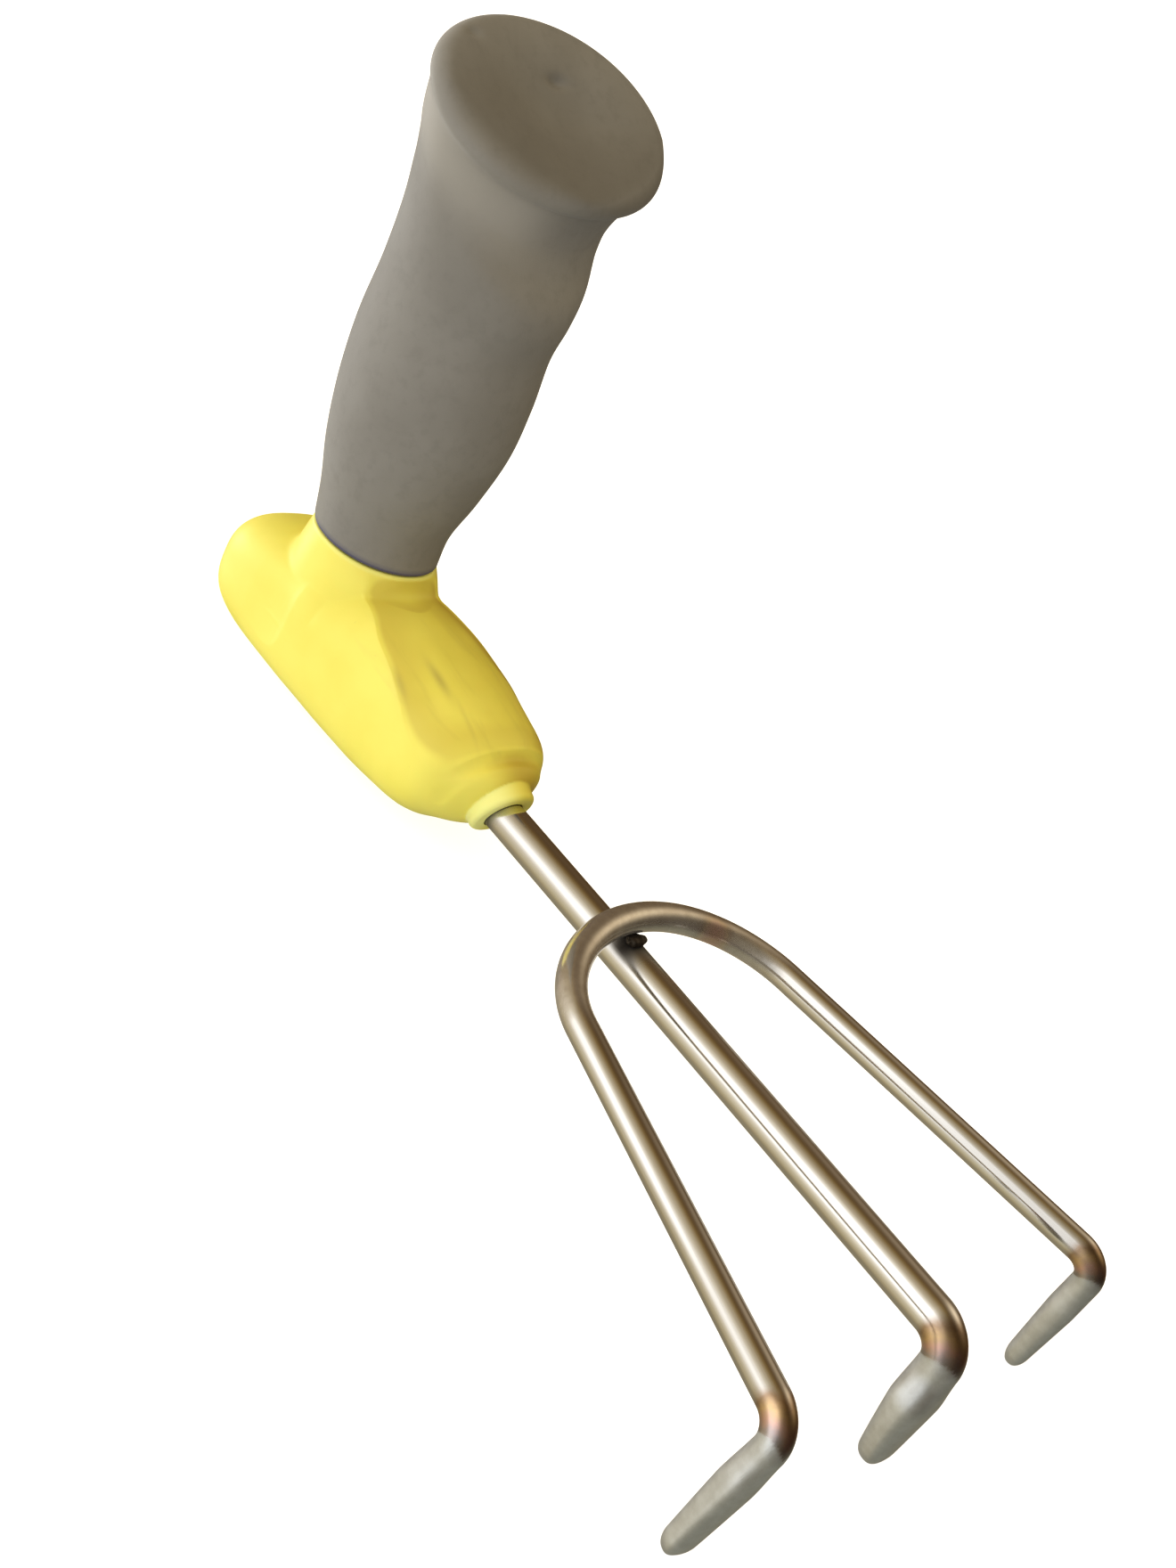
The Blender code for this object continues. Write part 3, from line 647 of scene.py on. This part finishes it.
def press_dimples(rows):
    """Push the two shallow dimples into the dish."""
    tilt = math.radians(FLANGE_SLOPE)
    forward = np.array((math.cos(tilt), 0, math.sin(tilt)))
    normal = np.array((-math.sin(tilt), 0, math.cos(tilt)))
    offset = rows - np.array((FLANGE_CENTRE, 0, FLANGE_HEIGHT))
    along, side, above = offset @ forward, offset[..., 1], offset @ normal
    for ahead, left, half_length, half_width, depth in DIMPLES:
        reach = ((along - ahead) / half_width) ** 2 + ((side - left) / half_length) ** 2
        rows = rows - ((above > -0.5) * depth * np.exp(-reach))[..., None] * normal
    return rows


def soften(rows, first, last, times):
    """Even out rings from first to last with their neighbours."""
    for _ in range(times):
        middle = (rows[first - 1:last - 1] + 2 * rows[first:last] + rows[first + 1:last + 1]) / 4
        rows[first:last] = middle
    return rows


def make_grip():
    """The soft sleeve with its rolled flange, crest and dish."""
    rows = grip_rows()
    count = len(rows)
    rows = soften(rows, count - SOFT_RINGS, count - 2, 10)
    rows = press_dimples(rows)
    obj = skin("soft_sleeve", rows)
    points = tool_points(obj)
    # Painted shade line along the hem, where the sleeve meets the neck
    store(obj, "hem", 1 - falloff(points[:, 2], *HEM_LINE))
    past_crest = np.repeat(np.arange(count), GRIP_SEGMENTS) - count + DISH_RINGS
    painted_crest_light, rim = (np.exp(-((past_crest - middle) / width) ** 2) for middle, width in (CREST_LIGHT_BAND, RIM_BAND))
    # Painted light under the crest on the near side, where the flare would be in shade
    store(obj, "painted_crest_light", painted_crest_light * falloff(points[:, 1], 6, -12))
    # Painted shade round the far rim, and on the dish, darker towards its front
    painted_far_rim_shade = rim * falloff(points[:, 1], -4, 14)
    dish = falloff(past_crest, -DISH_SHADE, 0) * falloff(points[:, 0], -84, -58)
    store(obj, "dish", np.maximum(dish, painted_far_rim_shade))
    obj.data.materials.append(soft_rubber())
    return obj


def station_values(places, stations):
    """The values of the stations at places between them."""
    rows = np.array(smooth_rows(stations, ROW_STEPS))
    return [np.interp(places, rows[:, 0], column) for column in rows.T[1:]]


def arc(one, two, share_one, share_two, power):
    """0 on the arc from (1, 0) to (share_one, share_two), and above 0 outside it."""
    along = two / share_two
    soft = ARC_START * np.clip(4.4 - 2 * power, 0, 1)
    start = (np.hypot(along, soft) - soft) / (np.hypot(1, soft) - soft)
    return one ** power + (1 - share_one ** power) * np.where(along < 1, start, along) ** power - 1


def upright_nose(points):
    """Points as they would lie if the end of the nose did not lean."""
    x, _, z = points.T
    straight = (x - NOSE_LEAN * z) / (1 + NOSE_LEAN * z / NOSE_RUN)
    return np.column_stack([np.where(straight > -NOSE_RUN, straight, x), points[:, 1:]])


def body_shares(points):
    """Where points lie in their cross section of the handle body, as shares, with its values."""
    points = upright_nose(points)
    half_width, middle, top, bottom, *rest = station_values(points[:, 0], BODY_STATIONS)
    above = points[:, 2] - middle
    across = np.abs(points[:, 1]) / half_width
    return across, np.maximum(above, 0) / (top - middle), np.maximum(-above, 0) / (middle - bottom), rest


def body_side(points):
    across, up, down, (share_out, share_up, power_up, power_down) = body_shares(points)
    below = across ** power_down + down ** power_down - 1
    return np.where(up > 0, arc(across, up, share_out, share_up, power_up), below)


def body_top(points):
    across, up, _, (share_out, share_up, power_up, _) = body_shares(points)
    return arc(up, across, share_up, share_out, power_up)


def nose_end(points):
    return upright_nose(points)[:, 0] - BODY_STATIONS[-1][0]


def neck_shares(points):
    """Where points lie in their level section of the neck, as shares, with its values."""
    centre, half_depth, half_width, *rest = station_values(points[:, 2], NECK_STATIONS)
    ahead = (points[:, 0] - centre) / half_depth
    return ahead, np.abs(points[:, 1]) / half_width, rest


def neck_front(points):
    ahead, across, (share_out, share_aside, power, power_back) = neck_shares(points)
    behind = np.maximum(-ahead, 0) ** power_back + across ** power_back - 1
    return np.where(ahead > 0, arc(np.maximum(ahead, 0), across, share_out, share_aside, power), behind)


def neck_side(points):
    ahead, across, (share_out, share_aside, power, _) = neck_shares(points)
    return arc(across, np.maximum(ahead, 0), share_aside, share_out, power)


def nose_ring(points):
    """Distance from the ring round the rod: a short cylinder with a rounded edge, leaned forwards."""
    lean = math.radians(RING_LEAN)
    offset = points - np.array((RING_MOUTH, 0, 0))
    along = offset[:, 0] * math.cos(lean) - offset[:, 2] * math.sin(lean)
    rise = offset[:, 0] * math.sin(lean) + offset[:, 2] * math.cos(lean)
    half = 0.5 * (RING_LENGTH + RING_ROOT)
    out = np.hypot(points[:, 1], rise) - RING_RADIUS + RING_EDGE
    ahead = np.abs(along + half) - half + RING_EDGE
    outside = np.hypot(np.maximum(out, 0), np.maximum(ahead, 0))
    return outside + np.minimum(np.maximum(out, ahead), 0) - RING_EDGE


def measured(shape, points):
    """Distance from a surface and the way out of it, for a shape that is 0 on its surface."""
    step = 0.02
    rises = [shape(points + step * axis) - shape(points - step * axis) for axis in np.eye(3)]
    slope = np.column_stack(rises) / (2 * step)
    steep = np.maximum(np.linalg.norm(slope, axis=1), 1e-4)
    return shape(points) / steep, slope / steep[:, None]


def meet(one, two, reach, joined=True):
    """Two measured surfaces as one: joined with a fillet, or cut by each other with a round edge."""
    sign = 1 if joined else -1
    reach = reach * np.clip(1 - np.sum(one[1] * two[1], axis=1), 0.05, 1)
    share = np.clip(0.5 + 0.5 * sign * (two[0] - one[0]) / reach, 0, 1)
    distance = share * one[0] + (1 - share) * two[0] - sign * reach * share * (1 - share)
    return distance, share[:, None] * one[1] + (1 - share)[:, None] * two[1]


def plane(axis, place, way):
    """A flat face square to an axis, with the way out of it up or down that axis."""
    return lambda points: way * (points[:, axis] - place)


def moulding(points):
    """The handle body's surface, measured from points near it."""
    heel = meet(measured(body_side, points), measured(body_top, points), RIDGE_ROUND, joined=False)
    for face in (plane(0, BODY_STATIONS[0][0], -1), nose_end, plane(2, LAND_Z, -1)):
        heel = meet(heel, measured(face, points), RIDGE_ROUND, joined=False)
    neck = meet(measured(neck_front, points), measured(neck_side, points), RIDGE_ROUND, joined=False)
    for place, way in ((NECK_STATIONS[0][0], -1), (NECK_STATIONS[-1][0], 1)):
        neck = meet(neck, measured(plane(2, place, way), points), LIP_ROUND, joined=False)
    ring = measured(nose_ring, points)
    return meet(meet(heel, neck, FOOT_ROUND), ring, RING_ROUND)


def body_ring(x, half_width, middle, top, bottom, *shape):
    """A plain section of the handle body, for the rough shape that is drawn onto its surface."""
    c, s = rounded(angles(BODY_SEGMENTS), shape[-1])
    z = np.maximum(middle + s * np.where(s > 0, top - middle, middle - bottom), LAND_Z)
    return np.column_stack([x + NOSE_LEAN * max(0, 1 + x / NOSE_RUN) * z, half_width * c, z])


def neck_ring(height, centre, half_depth, half_width, *shape):
    c, s = rounded(angles(BODY_SEGMENTS), shape[-1])
    return np.column_stack([centre + half_depth * c, half_width * s, np.full(BODY_SEGMENTS, height)])


def rough_body():
    """Heel, nose, neck and ring as plain lofts, melted together."""
    heel = [body_ring(*row) for row in smooth_rows(BODY_STATIONS, ROW_STEPS)]
    neck = [neck_ring(*row) for row in smooth_rows(NECK_STATIONS, ROW_STEPS)]
    mouth = RING_MOUTH + RING_RADIUS * math.sin(math.radians(RING_LEAN))
    rough_ring = straight_rings((-RING_LENGTH - RING_ROOT, mouth), RING_RADIUS)
    obj = join([skin("heel", heel), skin("neck", neck), skin("ring", rough_ring)], "body_moulding")
    remesh = obj.modifiers.new("melt", "REMESH")
    remesh.mode = "VOXEL"
    remesh.voxel_size = VOXEL * MM
    even = obj.modifiers.new("even", "SMOOTH")
    even.iterations = 3
    return apply_modifiers(obj)


def join(objects, name):
    """One object out of several, with the others removed."""
    bm = bmesh.new()
    for obj in objects:
        bm.from_mesh(obj.data)
        bpy.data.objects.remove(obj)
    return new_object(name, bm)


def beside(shape, points):
    """Painted shade on top of the nose, strongest where it meets a side face at the ridge."""
    inside = -measured(shape, points)[0]
    along = falloff(points[:, 0], -58, -50) * falloff(points[:, 0], -5, -13)
    left = falloff(points[:, 1], 6, 10)
    band = falloff(inside, 0.2, 0.9) * (1 - falloff(inside * (1 + left), 1, 7))
    return (0.5 + 0.5 * left) * along * band


def scuffs(points):
    """1 in the middle of each soft mark on top of the nose."""
    result = np.zeros(len(points))
    for x, y, turn, half_length, half_width, strength in SCUFFS:
        ahead, aside = points[:, 0] - x, points[:, 1] - y
        c, s = math.cos(math.radians(turn)), math.sin(math.radians(turn))
        reach = ((ahead * c + aside * s) / half_length) ** 2 + ((aside * c - ahead * s) / half_width) ** 2
        result += strength * np.exp(-reach) * falloff(points[:, 2], 5, 8)
    return np.minimum(result, 1)


def shade_body(obj):
    """Where the moulding is streaked, has painted shade beside its ridges and round the ring, is scuffed,
    has a painted highlight on the ring's lit side, or is paler at the neck's lip.
    """
    points = tool_points(obj)
    store(obj, "nose", falloff(points[:, 0], -52, -36) * falloff(points[:, 2], 6, 12))
    # Painted shade beside the ridges, and round the ring's root on the far side
    painted_nose_shade = np.maximum(beside(body_side, points), beside(neck_side, points))
    away = nose_ring(points)
    off_ring = falloff(away, *ROOT_START)
    root = off_ring * (1 - falloff(away, ROOT_START[1], ROOT_END))
    store(obj, "painted_nose_shade", np.maximum(painted_nose_shade, root * falloff(points[:, 1], -8, 2)))
    store(obj, "scuff", scuffs(points))
    # Painted highlight on the ring's lit side, and a paler lip round the neck's top
    ring = (1 - off_ring) * falloff(points[:, 1], 1, -5)
    store(obj, "seam", np.maximum(ring, 0.5 * falloff(points[:, 2], 20.9, 21.4)))


def make_body():
    """Handle body: one moulding of heel, nose, neck and ring, bored for the rod."""
    obj = rough_body()
    points = tool_points(obj)
    for _ in range(6):
        distance, way = moulding(points)
        points = points - np.clip(distance, -1, 1)[:, None] * way / np.sum(way * way, axis=1)[:, None]
    set_tool_points(obj, points)
    bore = skin("bore", straight_rings(BORE_SPAN, RING_BORE))
    cut = obj.modifiers.new("bore", "BOOLEAN")
    cut.object = bore
    cut.operation = "DIFFERENCE"
    apply_modifiers(obj)
    bpy.data.objects.remove(bore)
    obj.data.shade_smooth()
    obj.data.set_sharp_from_angle(angle=math.radians(50))
    shade_body(obj)
    obj.data.materials.append(yellow_plastic())
    return obj


def section(point, tangent, across, half_across, half_through, power=2.0):
    """An oval section square to a path, with its wide side along a level direction."""
    side = across - tangent * (across @ tangent)
    side = side / np.linalg.norm(side)
    through = np.cross(tangent, side)
    c, s = rounded(angles(STEEL_SEGMENTS), power)
    return point + np.outer(half_across * c, side) + np.outer(half_through * s, through)


def straight_rings(places, radius):
    return [section(np.array((x, 0.0, 0.0)), np.array((1.0, 0, 0)), np.array((0, 1.0, 0)), radius, radius)
            for x in places]


def unit(vector):
    return vector / np.linalg.norm(vector)


def fillet(corner, way_in, way_out, radius, steps):
    """Points and directions along an arc that rounds the corner between two directions."""
    turn = math.acos(way_in @ way_out)
    inward = unit(way_out - way_in * (way_in @ way_out))
    start = corner - way_in * radius * math.tan(turn / 2)
    result = []
    for angle in np.linspace(0, turn, steps + 1):
        point = start + radius * (math.sin(angle) * way_in + (1 - math.cos(angle)) * inward)
        result.append((point, math.cos(angle) * way_in + math.sin(angle) * inward))
    return result


def tip_sections(start, foot, across, radius, shape):
    """Forged tine below its bend: it spreads sideways, then thins and tapers to a rounded end."""
    spread, chisel, taper = shape
    path = foot - start
    tangent = unit(path)
    rings = []
    for along in np.concatenate([np.linspace(0.03, 0.84, 28), np.linspace(0.86, 1.0, 15)]):
        swell = falloff(along, 0, TIP_SWELL)
        late = max(0.0, along - TIP_SWELL) / (1 - TIP_SWELL)
        last = max(0.0, along - TIP_NOSE) / (1 - TIP_NOSE)
        close = math.sqrt(1 - (TIP_ROUNDING * last) ** 2)
        half_across = (radius + (spread - radius) * swell - taper * spread * late ** 2) * close
        half_through = (radius + (chisel - radius) * late) * close
        power = 2 + (TIP_SQUARENESS - 2) * swell
        rings.append(section(start + along * path, tangent, across, half_across, half_through, power))
    return rings


def steel_piece(name, rings, bend_end, arch=None, painted_shadow=None):
    """Loft a tine and keep what its finish needs: where each vertex lies along it and round it."""
    obj = skin(name, rings)
    middles = np.array([ring.mean(axis=0) for ring in rings])
    steps = np.linalg.norm(np.diff(middles, axis=0), axis=1)
    length = np.concatenate([[0], np.cumsum(steps)])
    past_bend = np.max([side * (length - length[index]) for index, side in bend_end], axis=0)
    turn = np.tile(angles(STEEL_SEGMENTS), len(rings))
    along = np.repeat(past_bend, STEEL_SEGMENTS)
    past = along + GROUND_VEE * np.abs(np.cos(turn))
    store(obj, "lengthwise", np.repeat(length, STEEL_SEGMENTS) / 60)
    store(obj, "turn_x", np.cos(turn) * 1.6)
    store(obj, "turn_y", np.sin(turn) * 1.6)
    store(obj, "ground", falloff(past, *GROUND_EDGE))
    apart = (tool_points(obj) - HEAT_SPOT)[:, :2]
    spot = HEAT_SPOT_STRENGTH * np.exp(-np.sum(apart ** 2, axis=1) / HEAT_SPOT_SPREAD)
    store(obj, "tinted", np.maximum(falloff(past, *TINT_EDGE), spot))
    tint = np.clip((past - TINT_EDGE[0]) / TINT_LENGTH, 0, 1)
    store(obj, "tint", np.maximum(tint, np.minimum(spot, 0.65)))
    zeros = np.zeros(len(turn))
    store(obj, "arch", zeros if arch is None else np.repeat(arch, STEEL_SEGMENTS))
    store(obj, "painted_shadow", zeros if painted_shadow is None else painted_shadow(tool_points(obj)))
    obj.data.materials.append(STEEL)
    return obj


def rod_painted_shadow(points):
    """Painted shadow on top of the rod by the front weld, and painted shade where it goes into the ring.
    """
    ahead, length = WELD_SHADOW
    weld = 0.95 * np.exp(-((points[:, 0] - CROSSING - ahead) / length) ** 2)
    mouth = 0.8 * np.exp(-((points[:, 0] - RING_MOUTH) / MOUTH_SHADOW) ** 2)
    return weld * falloff(points[:, 2], 0.5, 2.5) + mouth


def make_centre_tine():
    """One rod from inside the handle body to the bend and the forged centre tip."""
    level, along, down = np.array((0, 1.0, 0)), np.array((1.0, 0, 0)), np.array((0, 0, -1.0))
    bend = fillet(np.array((TINE_REACH, 0, 0)), along, down, BEND_RADIUS, BEND_STEPS)
    rings = straight_rings(np.linspace(ROD_START, bend[0][0][0] - 0.8, 150), ROD_RADIUS)
    rings += [section(point, tangent, level, ROD_RADIUS, ROD_RADIUS) for point, tangent in bend]
    bend_end = len(rings) - 1
    foot = np.array((TINE_REACH + CENTRE_FOOT_FORWARD, 0, -TIP_DEPTH))
    rings += tip_sections(bend[-1][0], foot, level, ROD_RADIUS, CENTRE_TIP)
    return steel_piece("rod", rings, [(bend_end, 1)], painted_shadow=rod_painted_shadow)


def leg_height(x):
    """Height of the wire's legs above the rod's axis: they rise from the bend to the arch."""
    return OUTER_BEND_Z + OUTER_RISE * (TINE_REACH - x)


def outer_path():
    """Points and directions of half the outer wire, from the crossing to the end of its bend."""
    sweep = math.atan2(ARCH_HALF_WIDTH, ARCH_LENGTH * OUTER_SPLAY)
    crest = ARCH_LIFT - leg_height(CROSSING)
    arch = []
    for share in np.linspace(0, 1, 61):
        angle = sweep * share
        x = ARCH_FRONT - ARCH_LENGTH * math.cos(angle)
        lift = (0.5 + 0.5 * math.cos(math.pi * share)) * crest
        arch.append(np.array((x, -ARCH_HALF_WIDTH * math.sin(angle), leg_height(x) + lift)))
    corner = np.array((TINE_REACH, -OUTER_BEND_Y, OUTER_BEND_Z))
    foot = np.array((TINE_REACH - TIP_TUCK, -OUTER_BEND_Y - TIP_SPLAY, -TIP_DEPTH))
    leg = unit(corner - arch[-1])
    bend = fillet(corner, leg, unit(foot - corner), OUTER_BEND_RADIUS, BEND_STEPS)
    straight = [arch[-1] + (bend[0][0] - arch[-1]) * share for share in np.linspace(0, 1, 60)[1:-1]]
    points = arch + straight
    ways = [np.array((0, -1.0, 0))] + [unit(b - a) for a, b in zip(points, points[2:])] + [leg]
    return list(zip(points, ways)), bend, foot


def make_outer_tines():
    """The wire over the rod, from one forged tip to the other."""
    path, bend, foot = outer_path()
    up = np.array((0, 0, 1.0))
    half = []
    for point, tangent in path:
        level = unit(np.cross(up, tangent))
        half.append(section(point, tangent, level, WIRE_RADIUS, WIRE_RADIUS))
    half += [section(point, tangent, level, WIRE_RADIUS, WIRE_RADIUS) for point, tangent in bend]
    bend_end = len(half) - 1
    half += tip_sections(bend[-1][0], foot, level, WIRE_RADIUS, OUTER_TIP)
    mirror = np.array((1, -1, 1))
    rings = [ring * mirror for ring in half[:0:-1]] + half
    middle = len(half) - 1
    heated = np.array([1 - falloff(abs(i - middle), 48, 66) for i in range(len(rings))])
    ends = [(middle + bend_end, 1), (middle - bend_end, -1)]
    return steel_piece("wire", rings, ends, arch=heated)


def make_bead(name, side):
    """A weld bead with its ripples, sunk a little into the rod and the wire."""
    bm = bmesh.new()
    bmesh.ops.create_uvsphere(bm, u_segments=64, v_segments=40, radius=1.0)
    centre = Vector((CROSSING + side * WELD_OFFSET, 0, ROD_RADIUS + WELD_RISE))
    for vert in bm.verts:
        ripple = 0.06 * math.sin(9 * vert.co.y) + 0.07 * noise.noise(vert.co * 2.2 + Vector((side, 0, 0)))
        offset = Vector(a * b for a, b in zip(vert.co * (1 + ripple), WELD_HALF_SIZE))
        vert.co = TOOL @ (centre + offset)
    obj = new_object(name, bm)
    obj.data.shade_smooth()
    obj.data.materials.append(WELD)
    return obj


def make_camera():
    """The photograph's viewing angle."""
    data = bpy.data.cameras.new("camera")
    data.lens = CAMERA_LENS
    data.clip_start, data.clip_end = 0.01, 60
    camera = bpy.data.objects.new("camera", data)
    turn = Matrix.Rotation(math.radians(CAMERA_AZIMUTH), 4, "Z")
    turn @= Matrix.Rotation(math.radians(90 - CAMERA_ELEVATION), 4, "X")
    turn @= Matrix.Rotation(math.radians(CAMERA_ROLL), 4, "Z")
    place, direction, _ = (TOOL @ Matrix.Translation(CAMERA_PLACE) @ turn).decompose()
    camera.matrix_world = Matrix.LocRotScale(place, direction, None)
    bpy.context.scene.collection.objects.link(camera)
    bpy.context.scene.camera = camera


def make_floor():
    """Plain pale floor, bright enough to run into the backdrop."""
    bm = bmesh.new()
    bmesh.ops.create_circle(bm, cap_ends=True, segments=96, radius=20)
    floor = new_object("floor", bm)
    material = bpy.data.materials.new("floor")
    material.use_nodes = True
    shader = material.node_tree.nodes["Principled BSDF"]
    shader.inputs["Base Color"].default_value = (0.85, 0.85, 0.85, 1)
    shader.inputs["Roughness"].default_value = 0.9
    shader.inputs["Specular IOR Level"].default_value = 0.0
    shader.inputs["Emission Color"].default_value = (1, 1, 1, 1)
    shader.inputs["Emission Strength"].default_value = 0.75
    floor.data.materials.append(material)
    floor.visible_glossy = False
    floor.visible_diffuse = False
    floor.visible_shadow = False


class Studio(Nodes):
    """Light by direction, in degrees in the tool's frame."""

    def __init__(self, world):
        super().__init__(world.node_tree)
        self.tree.nodes.clear()
        self.way = self.add("ShaderNodeTexCoord").outputs["Generated"]
        self.turn = TOOL.to_quaternion()
        self.height = self.facing(0, 90)

    def facing(self, azimuth, elevation):
        """Cosine between a ray and a direction."""
        azimuth, elevation = math.radians(azimuth), math.radians(elevation)
        flat = math.cos(elevation)
        towards = Vector((flat * math.cos(azimuth), flat * math.sin(azimuth), math.sin(elevation)))
        node = self.add("ShaderNodeVectorMath", operation="DOT_PRODUCT")
        self.put(node.inputs[0], self.way)
        self.put(node.inputs[1], self.turn @ towards)
        return node.outputs["Value"]

    def glow(self, azimuth, elevation, tightness):
        """A round soft light, brightest in one direction."""
        short = self.math("SUBTRACT", self.facing(azimuth, elevation), 1.0)
        return self.math("EXPONENT", self.math("MULTIPLY", short, tightness))

    def soft_light(self):
        """What lights matt surfaces: the wall, a glow on the heel, a dim warm room, a glow above."""
        wall = self.step(self.facing(*WALL_TOWARDS), *WALL_EDGES)
        low = self.step(self.height, -0.68, 0.01, WALL_BELOW, WALL_LIGHT)
        wall = self.math("MULTIPLY", wall, self.math("MULTIPLY", low, self.step(self.height, 1.37, 0.4)))
        light = self.math("ADD", wall, self.math("MULTIPLY", self.glow(*HEEL_GLOW), HEEL_LIGHT))
        room = self.mix(self.glow(*ROOM_GLOW), BLACK, ROOM_COLOUR)
        top = self.mix(self.glow(*TOP_GLOW), BLACK, TOP_COLOUR)
        return self.plus(self.plus(light, room), top)

    def mirrored_light(self):
        """What polished surfaces mirror. The band is wider where rays run back along the tool."""
        ahead = self.facing(0, 0)
        across = self.math("MULTIPLY", self.math("ADD", self.facing(*BAND_TOWARDS), 1.0), 0.5)
        across = self.math("ADD", across, self.step(ahead, -0.54, -0.68, 0.0, 0.08))
        band = self.mix(self.step(ahead, 0.6, -0.1, 0.3, 1.0), BLACK, self.ramp(across, *BAND))
        below = self.mix(self.step(self.height, -0.1, -0.8), BLACK, BAND_BELOW)
        cream = self.mix(self.glow(*ARCH_GLOW), BLACK, ARCH_COLOUR)
        return self.plus(self.plus(band, below), cream)


def make_studio():
    """Soft light, another for what is mirrored, and a pale backdrop for the camera."""
    world = bpy.data.worlds.new("studio")
    bpy.context.scene.world = world
    world.use_nodes = True
    n = Studio(world)
    path = n.add("ShaderNodeLightPath").outputs
    soft, mirrored = n.shine(n.soft_light(), 1.0), n.shine(n.mirrored_light(), BAND_LIGHT)
    shown = n.either(path["Is Glossy Ray"], soft, mirrored)
    shown = n.either(path["Is Camera Ray"], shown, n.shine(WHITE, BACKDROP))
    n.put(n.add("ShaderNodeOutputWorld").inputs["Surface"], shown)


STEEL = tool_steel()
WELD = weld_metal()

PIECES = (
    (make_grip(), "grip_sleeve", "soft_grip"),
    (make_body(), "handle_body", "yellow_moulding"),
    (make_centre_tine(), "centre_tine", "polished_steel"),
    (make_outer_tines(), "outer_tines", "polished_steel"),
    (make_bead("bead_front", 1), "weld_front", "weld_metal"),
    (make_bead("bead_rear", -1), "weld_rear", "weld_metal"),
)
for piece, node, slot in PIECES:
    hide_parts(node)
    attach(piece, "root")

make_floor()
make_studio()
make_camera()
bpy.context.scene.view_settings.view_transform = "Standard"
